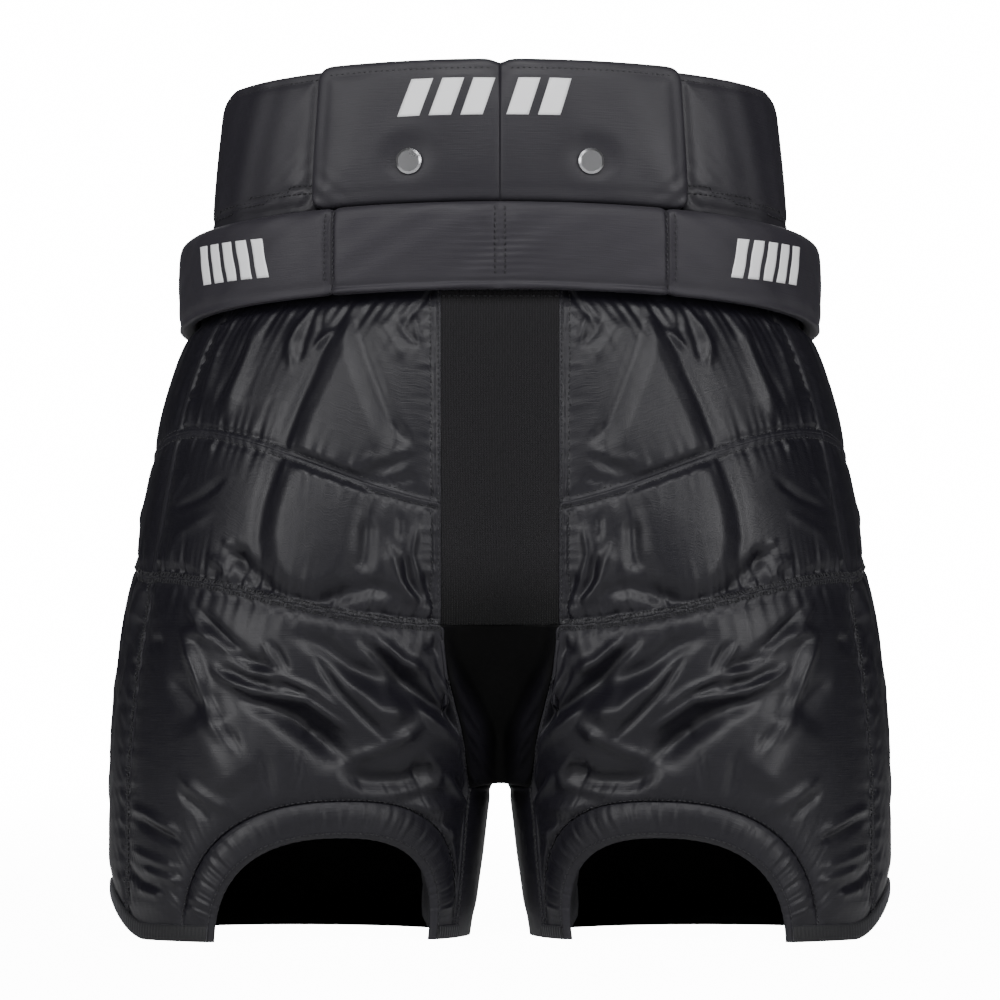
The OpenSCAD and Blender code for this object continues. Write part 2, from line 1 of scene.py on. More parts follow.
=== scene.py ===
import json
import math
import bmesh
import bpy
import numpy as np
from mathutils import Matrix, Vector

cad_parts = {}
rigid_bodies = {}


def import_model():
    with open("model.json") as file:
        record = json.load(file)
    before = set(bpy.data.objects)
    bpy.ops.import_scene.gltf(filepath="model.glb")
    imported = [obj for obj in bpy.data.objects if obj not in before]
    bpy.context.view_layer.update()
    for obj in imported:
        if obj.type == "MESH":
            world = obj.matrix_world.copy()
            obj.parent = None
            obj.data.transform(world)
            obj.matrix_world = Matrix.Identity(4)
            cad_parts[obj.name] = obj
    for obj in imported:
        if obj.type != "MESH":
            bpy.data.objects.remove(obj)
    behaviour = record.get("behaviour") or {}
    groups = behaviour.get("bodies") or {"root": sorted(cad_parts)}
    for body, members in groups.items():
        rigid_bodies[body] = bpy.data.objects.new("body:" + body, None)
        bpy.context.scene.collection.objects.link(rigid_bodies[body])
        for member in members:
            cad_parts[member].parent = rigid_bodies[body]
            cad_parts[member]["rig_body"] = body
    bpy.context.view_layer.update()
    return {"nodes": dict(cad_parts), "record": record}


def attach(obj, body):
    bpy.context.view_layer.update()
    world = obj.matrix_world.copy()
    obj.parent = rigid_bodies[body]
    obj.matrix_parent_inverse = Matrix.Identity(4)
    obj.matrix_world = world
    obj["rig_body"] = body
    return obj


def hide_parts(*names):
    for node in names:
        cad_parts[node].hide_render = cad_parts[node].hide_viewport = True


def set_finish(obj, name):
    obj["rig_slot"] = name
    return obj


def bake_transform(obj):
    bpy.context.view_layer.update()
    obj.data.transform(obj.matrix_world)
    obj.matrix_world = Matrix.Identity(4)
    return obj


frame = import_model()
bpy.ops.object.select_all(action="DESELECT")
print("stage: frame loaded")

# the garment's surface, in mm: angle 0 is the outer side, -90 the back and 90 the front
garment = {
    # height, half width, half depth, middle to the leg's axis
    "stations": [
        (0, 259.5, 132, 139.75), (50, 259.5, 134, 136.25), (100, 259, 136, 132.25),
        (149.83, 256.5, 138, 118.068), (225.33, 247, 140, 97.832), (290.26, 236.5, 136, 74.996),
        (335.56, 228.5, 130, 50.084), (377.84, 216, 124, 20.76), (394, 209, 119, 7.785),
        (408, 200, 114, 0), (460, 199, 114, 0), (557, 190, 110, 0)],
    "lean": 0.216,
    "leanFrom": 150, "leanTo": 402,
    "knitWidth": 78, "flyWidth": 56, "crotchHalf": 19.9,
    "sideAngle": 25, "sideHemLift": 27,
    # each seat seam: its height at the side and at the middle of the back
    "lowerSeam": (235.9, 205.7), "upperSeam": (325, 273.05),
    "archMiddle": -104, "archScale": 2.2453, "archWidth": 178, "archHeight": 71, "archBand": 22,
           "archBlunt": 0.85,
    "gussetTop": 205.7, "shellTop": 410, "beltLow": 402, "beltHigh": 460,
    "frontTop": 485, "foldLow": 263.1, "foldHigh": 311.1,
}
stationRows = np.array(garment["stations"], float)


def joinedSlopes(rows):
    steps = np.diff(rows, axis=0)
    slopes = steps / steps[:, :1]
    tangents = np.zeros_like(rows)
    before, after = slopes[:-1], slopes[1:]
    same = before * after > 0
    total = np.where(same, before + after, 1)
    tangents[1:-1] = np.where(same, 2 * before * after / total, 0)
    tangents[0], tangents[-1] = slopes[0], slopes[-1]
    return tangents


stationSlopes = joinedSlopes(stationRows)


def mix(a, b, share):
    return a + (b - a) * share


def ease(share):
    held = np.clip(share, 0, 1)
    return held * held * (3 - 2 * held)


def shapeAt(h):
    h = np.asarray(h, float)
    i = np.clip(np.searchsorted(stationRows[:, 0], h, side="right") - 1, 0, len(stationRows) - 2)
    low, high = stationRows[i], stationRows[i + 1]
    span = high[..., 0] - low[..., 0]
    s = ((h - low[..., 0]) / span)[..., None]
    s2, s3 = s * s, s * s * s
    span = span[..., None]
    made = (low * (2 * s3 - 3 * s2 + 1) + stationSlopes[i] * span * (s3 - 2 * s2 + s)
            + high * (3 * s2 - 2 * s3) + stationSlopes[i + 1] * span * (s3 - s2))
    return made[..., 1], made[..., 2], made[..., 3]


def leanAt(h):
    return (garment["lean"] * ease((np.asarray(h, float) - garment["leanFrom"])
                                   / (garment["leanTo"] - garment["leanFrom"])))


def skin(angle, h, depth=0.0):
    angle, h, depth = np.broadcast_arrays(np.asarray(angle, float), np.asarray(h, float),
                                          np.asarray(depth, float))
    width, halfDepth, leg = shapeAt(h)
    turn = np.radians(angle)
    y = (halfDepth - depth) * np.sin(turn)
    x = -(leg + (width - leg - depth) * np.cos(turn))
    return np.stack([x, y, h - leanAt(h) * y], axis=-1) * 0.001


def around(turn, h, depth=0.0):  # both halves: past 90 it mirrors the left one
    turn, h, depth = np.broadcast_arrays(np.asarray(turn, float), np.asarray(h, float),
                                         np.asarray(depth, float))
    past = np.abs(turn) > 90
    points = skin(np.where(past, np.sign(turn) * 180 - turn, turn), h, depth)
    points[..., 0] = np.where(np.abs(turn) == 90, 0, np.where(past, -points[..., 0], points[..., 0]))
    return points


def outwards(points):  # unit normals of a grid of points, rows going up and columns going round
    up = np.gradient(points, axis=0)
    along = np.gradient(points, axis=1)
    normal = np.cross(up, along)
    length = np.linalg.norm(normal, axis=-1, keepdims=True)
    return normal / np.maximum(length, 1e-12)


def angleAt(x, h, depth=0.0):
    width, _, leg = shapeAt(h)
    return np.degrees(np.arccos(np.clip((x - leg) / (width - leg - depth), -1, 1)))


def middleHalf(h, full):
    return mix(garment["crotchHalf"], full / 2, ease((np.asarray(h, float) - 100) / 110.2))


def edgeAngle(h, full):
    h = np.asarray(h, float)
    return np.where(h <= 100, 152 + 5 * (1 - h / 100), angleAt(middleHalf(h, full), h))


def backEdge(h):
    return -edgeAngle(h, garment["knitWidth"])


def frontEdge(h):
    return edgeAngle(h, garment["flyWidth"])


def fixed(value):
    return lambda h: np.full(np.shape(h), float(value))


def seamCurve(sideH, middleH):
    return lambda angle: mix(sideH, middleH, ease((-np.asarray(angle, float) - 25) / 90))


lowerSeam = seamCurve(*garment["lowerSeam"])
upperSeam = seamCurve(*garment["upperSeam"])
rearSide, frontSide = fixed(-garment["sideAngle"]), fixed(garment["sideAngle"])


def lowerHipSeam(angle):
    return mix(garment["lowerSeam"][0], garment["foldLow"], ease((np.asarray(angle, float) + 25) / 50))


def upperHipSeam(angle):
    return mix(garment["upperSeam"][0], garment["foldHigh"], ease((np.asarray(angle, float) + 25) / 50))


def hem(angle):
    return garment["sideHemLift"] * (1 - ease(np.abs(angle) / 40))


def blunt(value):
    return np.sign(value) * np.abs(value) ** garment["archBlunt"]


def archPoint(turn, out):
    turn = np.radians(turn)
    return (garment["archMiddle"] + (garment["archWidth"] / 2 + out) * blunt(np.cos(turn))
            / garment["archScale"],
            (garment["archHeight"] + out) * blunt(np.sin(turn)))


def archOut(angle, h):  # distance outside the arch's edge, negative within it
    a = np.abs((angle - garment["archMiddle"]) * garment["archScale"]) / (garment["archWidth"] / 2)
    b = np.maximum(h, 0) / garment["archHeight"]
    power = 2 / garment["archBlunt"]
    return ((a ** power + b ** power) ** (1 / power) - 1) * 74


def runOf(line):  # the length of a line up to each of its points
    return np.concatenate([[0], np.cumsum(np.linalg.norm(np.diff(line, axis=0), axis=1))])


def evenly(points, count):  # the same line with its points spread evenly
    points = np.asarray(points, float)
    run = runOf(points)
    spots = np.linspace(0, run[-1], count)
    return np.stack([np.interp(spots, run, points[:, k]) for k in range(points.shape[1])], axis=1)


def panelChart(fromAngle, toAngle, low, high, columns, rows):  # angles and heights of a panel's grid
    i = np.linspace(0, 1, columns + 1)[None, :]
    j = np.linspace(0, 1, rows + 1)[:, None]
    h = np.full((rows + 1, columns + 1), 200.0)
    for _ in range(6):
        angle = mix(fromAngle(h), toAngle(h), i)
        h = mix(low(angle), high(angle), j)
    return angle, h


def gridLengths(points):  # how far along each row and column a point is, in metres
    across = np.zeros(points.shape[:2])
    up = np.zeros(points.shape[:2])
    across[:, 1:] = np.cumsum(np.linalg.norm(np.diff(points, axis=1), axis=2), axis=1)
    up[1:, :] = np.cumsum(np.linalg.norm(np.diff(points, axis=0), axis=2), axis=0)
    return across, up


# meshes
def meshFrom(name, points, faces, uv=None, marks=None):
    mesh = bpy.data.meshes.new(name)
    mesh.from_pydata(np.asarray(points, float).reshape(-1, 3).tolist(), [], faces)
    if uv is not None:
        layer = mesh.uv_layers.new(name="cloth")
        spots = np.zeros(len(mesh.loops), int)
        mesh.loops.foreach_get("vertex_index", spots)
        layer.data.foreach_set("uv", np.asarray(uv, float).reshape(-1, 2)[spots].ravel())
    for label, values in (marks or {}).items():
        spot = mesh.attributes.new(label, "FLOAT", "POINT")
        spot.data.foreach_set("value", np.asarray(values, np.float32).ravel())
    mesh.validate()
    piece = bpy.data.objects.new(name, mesh)
    bpy.context.scene.collection.objects.link(piece)
    mesh.polygons.foreach_set("use_smooth", np.ones(len(mesh.polygons), bool))
    return piece


def gridFaces(rows, columns, start=0, flip=False, ring=False):
    faces = []
    last = rows if ring else rows - 1
    for j in range(last):
        up = (j + 1) % rows
        for i in range(columns - 1):
            a, b = start + j * columns + i, start + j * columns + i + 1
            c, d = start + up * columns + i + 1, start + up * columns + i
            faces.append((a, b, c, d) if flip else (a, d, c, b))
    return faces


def gridPiece(name, points, uv=None, marks=None):
    rows, columns = points.shape[:2]
    if uv is None:
        uv = np.stack(gridLengths(points), axis=-1)
    return meshFrom(name, points, gridFaces(rows, columns), uv, marks)


def ringPiece(name, points, uv=None, marks=None):  # rows close on themselves, the two ends are capped
    rows, columns = points.shape[:2]
    faces = gridFaces(rows, columns, ring=True)
    faces.append(tuple(j * columns for j in range(rows)))
    faces.append(tuple(j * columns + columns - 1 for j in reversed(range(rows))))
    if uv is None:
        uv = np.stack(gridLengths(points), axis=-1)
    return meshFrom(name, points, faces, uv, marks)


def applied(piece, kind, **settings):
    modifier = piece.modifiers.new(kind.lower(), kind)
    for key, value in settings.items():
        setattr(modifier, key, value)
    bpy.ops.object.select_all(action="DESELECT")
    piece.select_set(True)
    bpy.context.view_layer.objects.active = piece
    bpy.ops.object.modifier_apply(modifier=modifier.name)
    piece.select_set(False)
    return piece


def walled(piece, wall, smooth=1):
    if smooth:
        applied(piece, "SUBSURF", levels=smooth, render_levels=smooth, boundary_smooth="PRESERVE_CORNERS")
    return applied(piece, "SOLIDIFY", thickness=wall * 0.001, offset=-1, use_even_offset=False)


def mirrored(piece, name):
    mesh = piece.data.copy()
    mesh.name = name
    other = bpy.data.objects.new(name, mesh)
    bpy.context.scene.collection.objects.link(other)
    spots = np.zeros(len(mesh.vertices) * 3)
    mesh.vertices.foreach_get("co", spots)
    spots[0::3] *= -1
    mesh.vertices.foreach_set("co", spots)
    mesh.flip_normals()
    mesh.update()
    return other


def merged(name, pieces):
    bpy.ops.object.select_all(action="DESELECT")
    for piece in pieces:
        piece.select_set(True)
    bpy.context.view_layer.objects.active = pieces[0]
    if len(pieces) > 1:
        bpy.ops.object.join()
    pieces[0].name = name
    pieces[0].data.name = name
    pieces[0].select_set(False)
    return pieces[0]


# folds, puckers and gathers, in mm
def along(points, line, width):  # how strongly each point lies on a line of folded cloth
    line = np.asarray(line, float)
    run = runOf(line)
    best = np.full(points.shape[0], 1e9)
    spot = np.zeros(points.shape[0])
    for k in range(len(line) - 1):
        a, b = line[k], line[k + 1]
        step = b - a
        length = max(np.linalg.norm(step), 1e-6)
        t = np.clip((points - a) @ step / length ** 2, 0, 1)
        away = np.linalg.norm(points - a - t[:, None] * step, axis=1)
        closer = away < best
        best = np.where(closer, away, best)
        spot = np.where(closer, run[k] + t * length, spot)
    share = spot / run[-1]
    taper = np.clip(np.minimum(share, 1 - share) * 4 + 0.25, 0, 1)
    wide = width * (0.55 + 0.45 * taper)
    return np.exp(-(best / wide) ** 2) * taper


def folds(x, z, strokes, wider=1.0, higher=1.0):
    points = np.stack([np.ravel(x), np.ravel(z)], axis=1)
    total = np.zeros(points.shape[0])
    for line, width, height in strokes:
        line = np.asarray(line, float)
        width, height = width * wider, height * higher
        near = ((points[:, 0] > line[:, 0].min() - 3 * width) & (points[:, 0] < line[:, 0].max() + 3 * width)
                & (points[:, 1] > line[:, 1].min() - 3 * width)
                & (points[:, 1] < line[:, 1].max() + 3 * width))
        if near.any():
            total[near] += height * along(points[near], line, width)
    return total.reshape(np.shape(x))


def ripple(s, seed, waves=(4.7, 6.4, 9.1, 13.7)):  # uneven waves along a seam, about -1 to 1
    draw = np.random.default_rng(seed)
    total = np.zeros(np.shape(s))
    for wave in waves:
        total = (total + np.sin(2 * math.pi * (np.asarray(s) / wave + draw.random()))
                 * (0.5 + 0.5 * draw.random()))
    return total / 1.9


def insidePath(x, z, path):  # 1 within a closed outline
    path = np.asarray(path, float)
    within = np.zeros(np.shape(x), bool)
    for a, b in zip(path, np.roll(path, -1, axis=0)):
        crosses = (a[1] > z) != (b[1] > z)
        at = (b[0] - a[0]) * (z - a[1]) / (b[1] - a[1] if b[1] != a[1] else 1e-9) + a[0]
        within ^= crosses & (x < at)
    return within


def outlineDistance(x, z, path):
    path = np.asarray(path, float)
    points = np.stack([np.ravel(x), np.ravel(z)], axis=1)
    best = np.full(len(points), 1e9)
    for a, b in zip(path, np.roll(path, -1, axis=0)):
        step = b - a
        t = np.clip((points - a) @ step / max(step @ step, 1e-9), 0, 1)
        best = np.minimum(best, np.linalg.norm(points - a - t[:, None] * step, axis=1))
    return best.reshape(np.shape(x))


# the pad under the seat shows through the shell: its outline, x from the middle and height
seatPadShape = {
    "outline": [(98.2, 409), (108.1, 399.4), (117.9, 374.8), (129.4, 350.1), (139.3, 327.1), (145.9, 307.4),
                (152.4, 284.4), (154.9, 266.4), (153.2, 251.6), (147.5, 238.4), (137.6, 230.2),
                (126.1, 226.9),
                (113, 230.2), (101.5, 236.8), (92.5, 254.9), (88, 284.4), (78.5, 307.4), (71.1, 327.1),
                (73.6, 340.3), (80.2, 356.7), (90, 383)],
    "rise": 4.4,
    "edge": 15.0,
}

rearFolds = [
    ([(196, 150), (182, 122), (168, 100)], 15, 3.4),
    ([(140, 162), (122, 140), (100, 118)], 12, -4.2),
    ([(104, 172), (86, 152), (66, 138)], 9, 2.2),
    ([(70, 176), (52, 158), (34, 140)], 7, -2.0),
    ([(206.1, 202.0), (197.9, 180.6), (192.2, 164.2), (184.0, 146.1), (173.3, 128.1)], 3.6, 3.4),
    ([(192.2, 169.1), (180.7, 142.8), (168.4, 126.4)], 3.2, -2.6),
    ([(213.5, 174.1), (200.4, 159.3), (190.5, 152.7)], 5, -1.5),
    ([(204.5, 221.7), (192.2, 206.9), (177.4, 193.8), (161.0, 188.8)], 2.4, 2.6),
    ([(199.6, 218.4), (177.4, 197.0), (161.0, 184.7), (147.8, 182.3)], 3.2, -3.2),
    ([(205.3, 202.0), (197.1, 204.4), (185.6, 197.0)], 2.4, 2.4),
    ([(185.6, 179.0), (161.0, 164.2), (144.5, 161.7), (126.5, 159.3), (101.0, 141.2)], 3.0, 3.4),
    ([(182.3, 180.6), (164.2, 172.4), (147.8, 169.1)], 2.4, -2.6),
    ([(144.5, 172.4), (126.5, 164.2)], 2.2, -2.0),
    ([(161.0, 177.3), (144.5, 174.9), (121.5, 165.8), (105.1, 152.7)], 2.4, 2.2),
    ([(170.8, 164.2), (147.8, 154.3), (131.4, 144.5), (115.0, 133.0), (101.8, 121.5)], 6.5, -5.2),
    ([(119.9, 187.2), (106.8, 167.5), (92.0, 151.1), (77.2, 136.3)], 2.2, -2.6),
    ([(110.0, 185.6), (96.9, 169.1), (80.5, 154.3), (57.5, 152.7)], 5.5, 2.8),
    ([(131.4, 202.0), (115.0, 195.4), (98.6, 180.6), (72.3, 172.4), (55.8, 156.0)], 6.0, -4.0),
    ([(90.3, 198.7), (67.3, 177.3), (44.3, 156.0), (23.0, 139.6), (7.4, 126.4)], 4.2, -4.4),
    ([(80.5, 200.3), (65.7, 185.6), (50.9, 179.0)], 3.6, 3.4),
    ([(52.6, 154.3), (32.9, 137.9), (16.4, 123.1), (6.6, 110.0)], 3.6, 3.2),
    ([(49.3, 190.5), (32.9, 200.3)], 2.6, -2.6),
    ([(42.7, 175.7), (29.6, 159.3), (16.4, 146.1), (6.6, 133.0)], 2.8, 3.0),
    ([(47.6, 179.0), (36.1, 159.3), (21.4, 144.5)], 2.2, -2.4),
    ([(101.8, 111.6), (85.4, 106.7), (67.3, 106.7), (44.3, 111.6)], 5.5, -4.4),
    ([(98.6, 121.5), (82.1, 128.1), (65.7, 136.3), (54.2, 142.8)], 3.2, 2.8),
    ([(59.1, 113.3), (46.0, 116.6)], 3.4, -2.4),
    ([(49.3, 123.1), (41.1, 113.3), (44.3, 103.4)], 2.2, 1.0),
    ([(207.0, 106.7), (190.5, 95.2), (174.1, 87.0)], 3.0, 1.8),
    ([(208.6, 98.5), (190.5, 83.7)], 2.2, -1.6),
    ([(239.0, 82.1), (223.4, 73.0), (208.6, 65.6)], 2.6, -2.2),
    ([(243.1, 87.0), (226.7, 80.4), (208.6, 72.2)], 2.6, 1.8),
    ([(230.0, 193.8), (220.1, 198.7)], 2.0, -1.6),
    ([(248.0, 49.2), (234.9, 39.4), (221.7, 34.4)], 2.0, -1.6),
    ([(233.2, 47.6), (220.1, 42.7), (207.0, 39.4)], 1.9, 1.6),
    ([(241.4, 59.1), (223.4, 52.5), (208.6, 48.4)], 1.9, 1.4),
    ([(236.5, 34.4), (220.1, 29.5)], 1.8, 1.4),
    ([(154.4, 126.4), (151.1, 103.4), (147.8, 96.9)], 3.0, -1.2),
    ([(129.8, 129.7), (132.2, 111.6), (135.5, 96.9)], 1.2, -1.2),
    ([(128.1, 136.3), (123.2, 141.2)], 1.8, -1.6),
    ([(75.6, 89.5), (52.6, 96.9), (29.6, 100.1)], 2.6, -2.0),
    ([(72.3, 82.1), (49.3, 87.0), (27.9, 89.5)], 2.4, 1.8),
    ([(65.7, 76.3), (46.0, 78.8), (27.9, 77.1)], 2.0, -1.8),
    ([(57.5, 70.6), (42.7, 72.2), (27.9, 68.9)], 2.0, 1.6),
    ([(32.9, 110.0), (23.0, 96.9), (13.1, 85.4)], 2.6, -2.6),
    ([(37.8, 110.0), (27.9, 95.2), (16.4, 80.4)], 2.4, 2.2),
    ([(147.8, 197.0), (142.9, 187.2), (138.8, 179.0)], 2.0, -1.8),
    ([(154.4, 197.0), (147.8, 185.6), (142.9, 179.0)], 2.0, 1.4),
    ([(32.9, 197.0), (21.4, 177.3), (9.9, 159.3)], 2.8, 2.0),
    ([(24.6, 202.0), (13.1, 182.3), (4.9, 165.8)], 2.8, -2.4),
]

seatFolds = [
    ([(155.7, 410.9), (161.5, 396.1), (170.5, 374.8), (181.2, 346.8)], 4.6, 2.2),
    ([(165.6, 399.4), (173.8, 378.1), (186.9, 355.1)], 3.0, -1.1),
    ([(185.3, 405.2), (187.7, 383.0), (195.1, 360.0)], 3.0, 1.2),
    ([(191.8, 397.8), (200.1, 376.4), (205.0, 363.3)], 2.4, -0.8),
    ([(200.1, 394.5), (206.6, 369.8), (213.2, 346.8)], 2.2, 0.9),
    ([(129.4, 410.9), (136.8, 394.5), (136.8, 378.1)], 3.4, 1.8),
    ([(122.9, 410.9), (129.4, 396.1), (131.1, 383.0)], 2.6, -1.4),
    ([(108.1, 403.5), (114.6, 397.8), (121.2, 391.2)], 2.0, 1.6),
    ([(116.3, 410.9), (119.6, 399.4)], 2.0, -1.4),
    ([(67.0, 410.9), (62.1, 401.0), (53.9, 392.8)], 2.6, -1.6),
    ([(57.2, 412.5), (53.9, 402.7), (52.2, 394.5)], 2.0, 1.2),
    ([(80.2, 410.9), (70.3, 394.5), (62.1, 383.0)], 4.0, 1.0),
    ([(94.9, 302.5), (80.2, 310.7), (58.8, 318.9)], 2.6, -1.8),
    ([(71.9, 302.5), (55.5, 305.8)], 2.0, -1.6),
    ([(90.0, 315.6), (73.6, 318.9), (58.8, 323.9)], 2.6, 1.0),
    ([(70.3, 340.3), (63.7, 333.7), (58.8, 330.4)], 2.4, -1.2),
    ([(186.9, 333.7), (191.8, 323.9)], 2.4, 1.0),
    ([(205.0, 363.3), (206.6, 340.3)], 2.0, 0.8),
    ([(214.8, 284.4), (196.8, 292.6), (181.2, 304.1)], 2.2, -1.8),
    ([(218.1, 289.4), (206.6, 307.4)], 2.2, 1.0),
    ([(219.8, 248.3), (211.6, 268.0), (190.2, 281.1)], 3.0, 1.0),
    ([(226.3, 263.1), (227.2, 248.3)], 2.8, 1.0),
    ([(178.7, 261.4), (165.6, 248.3), (155.7, 236.8), (145.9, 221.2)], 4.6, -4.2),
    ([(181.2, 264.7), (170.5, 254.9)], 2.2, 1.6),
    ([(173.8, 258.1), (163.9, 236.8), (160.6, 225.3)], 3.0, -2.4),
    ([(190.2, 253.2), (182.0, 248.3), (175.4, 238.4)], 3.0, 2.0),
    ([(190.2, 236.8), (178.7, 238.4), (170.5, 228.6)], 2.6, 2.2),
    ([(167.2, 238.4), (162.3, 226.9)], 2.2, 2.0),
    ([(219.8, 243.4), (211.6, 245.0), (205.0, 236.8)], 2.8, -1.8),
    ([(205.0, 246.7), (203.3, 236.8)], 2.2, -1.6),
    ([(119.6, 222.8), (101.5, 228.6), (85.1, 234.3), (70.3, 230.2)], 5.0, -3.4),
    ([(86.7, 279.5), (85.9, 259.8), (88.4, 241.7)], 5.0, -2.4),
    ([(73.6, 261.4), (67.0, 238.4), (53.9, 220.4)], 4.0, 2.6),
    ([(62.1, 258.1), (60.4, 238.4), (53.1, 226.9)], 2.2, -2.4),
    ([(55.5, 274.6), (58.8, 254.9), (52.2, 231.9)], 2.6, 2.0),
    ([(83.4, 220.4), (70.3, 210.5), (60.4, 202.3)], 3.0, -2.0),
    ([(48.9, 243.4), (45.7, 230.2), (42.4, 220.4)], 2.4, -2.4),
    ([(65.4, 281.1), (65.4, 264.7)], 2.0, -1.4),
]


def looseFolds(seed, count, box, slope, length, width, height):  # unplanned folds for the front and the sides
    draw = np.random.default_rng(seed)
    strokes = []
    for _ in range(count):
        s, h = draw.uniform(box[0], box[1]), draw.uniform(box[2], box[3])
        turn = math.radians(draw.normal(slope, 16))
        reach = draw.uniform(length[0], length[1])
        bend = draw.uniform(-0.25, 0.25) * reach
        way = np.array([math.cos(turn), math.sin(turn)])
        side = np.array([-way[1], way[0]])
        middle = np.array([s, h])
        line = [tuple(middle - way * reach / 2), tuple(middle + side * bend / 2),
                tuple(middle + way * reach / 2)]
        wide = draw.uniform(width[0], width[1])
        strokes.append((line, wide, draw.uniform(height[0], height[1])))
        strokes.append(([tuple(np.array(p) + side * wide * 1.7) for p in line], wide,
                        -0.8 * draw.uniform(height[0], height[1])))
    return strokes


# shell panels
shell = {
    "wall": 1.4,        # mm
    "puff": 3.0,        # how far the padding pushes a panel out between its seams
    "puffRun": 13.0,    # over this distance from a seam
    "seamHalf": 3.6,    # from the seam to each of its two stitch lines
    "arc": 2.25,        # mm along a seam for each degree round the leg
}
panels = {}


# what a seam does to the cloth: height beside it and how tightly it is held
def seamWork(edge, s, kind, seed):
    half = shell["seamHalf"]
    if kind == "open":
        return np.zeros(np.shape(edge)), np.ones(np.shape(edge))
    groove = np.exp(-((edge - half) / 1.3) ** 2)
    beyond = np.clip(edge - half, 0, None)
    within = edge < half
    run = ripple(s, seed)
    if kind == "clean":  # two even rows of stitching with small pillows between
        pillow = np.where(within, 0.75 * (0.35 + 0.65 * np.sin(math.pi * s / 5.2 + run) ** 2), 0)
        lift = -1.5 * groove + pillow + 0.8 * run * np.exp(-beyond / 7) * ~within
        pull = np.exp(-beyond / 3.0)
    elif kind == "puckered":  # a thick, uneven seam
        rough = ripple(s, seed + 7, (2.9, 3.7, 5.3))
        lift = (np.where(within, 1.0 + 1.2 * rough, 0) - 1.6 * groove
                + 1.8 * run * np.exp(-beyond / 9) * ~within)
        pull = np.exp(-beyond / 4.0)
    else:  # "plain": pulled in, lightly puckered
        lift = -1.2 * groove + np.where(within, 0.25, 0) + 1.2 * run * np.exp(-beyond / 7) * ~within
        pull = np.exp(-beyond / 3.0)
    return lift, pull


def addPanel(name, angle, h, seams, puff=None, extra=None, flat=None):
    base = skin(angle, h)
    across, up = gridLengths(base)
    across, up = across * 1000, up * 1000
    width, height = across[:, -1:], up[-1:, :]
    edges = {"from": (across, up), "to": (width - across, up), "low": (up, across),
             "high": (height - up, across)}
    x, z = np.abs(base[..., 0]) * 1000, base[..., 2] * 1000
    lift = np.zeros(angle.shape)
    puffed = np.ones(angle.shape)
    nearest = np.full(angle.shape, 1e3)
    for side, (kind, number) in seams.items():
        edge, s = edges[side]
        key = z if side in ("from", "to") else angle * shell["arc"]
        work, pull = seamWork(edge, key, kind, number)
        if kind != "open":
            puffed = np.minimum(puffed, 1
                                - np.exp(-np.clip(edge - shell["seamHalf"], 0, None) / shell["puffRun"]))
            nearest = np.minimum(nearest, edge)
        fade = np.ones(angle.shape)
        for other, (otherKind, _) in seams.items():
            if other != side and otherKind != "open":
                fade = fade * ease(edges[other][0] / 5 + 0.1)
        lift = lift + work * fade
    lift = lift + (shell["puff"] if puff is None else puff) * puffed
    if extra is not None:
        clear = ease((nearest - 1.5) / 5)
        lift = lift + extra(x, z, angle, h, across, up) * clear
    if flat is not None:
        lift = flat(lift, x, z, angle, h)
    if seams["low"][0] == "open":  # the elastic at the hem draws the cloth in
        lift = lift * mix(0.1, 1, ease((up - 9) / 16))
    normal = outwards(base)
    points = base + normal * (lift * 0.001)[..., None]
    held = np.zeros(angle.shape)
    for side in seams:
        edge = edges[side][0]
        held = np.maximum(held, ease(1.25 - edge / 5.5))
    worn = np.exp(-nearest / 5)
    panels[name] = {"points": points, "normal": normal, "base": base, "held": held, "worn": worn,
                    "x": x, "z": z, "angle": angle, "h": h, "shape": angle.shape}


def seatBulge(x, z):
    within = insidePath(x, z, seatPadShape["outline"])
    away = outlineDistance(x, z, seatPadShape["outline"])
    signed = np.where(within, away, -away)
    crown = ease((signed + 3) / seatPadShape["edge"])
    ditch = -0.25 * np.exp(-((signed + 4) / 4) ** 2)
    return seatPadShape["rise"] * (crown + ditch)


def beltGathers(angle, h, seed):  # the shell is gathered where it goes under the belt
    run = ripple(angle * 2.2, seed, (5.2, 7.7, 11.3, 17.9))
    return 1.5 * run * np.exp(-np.clip(garment["beltLow"] - h, 0, None) / 15)


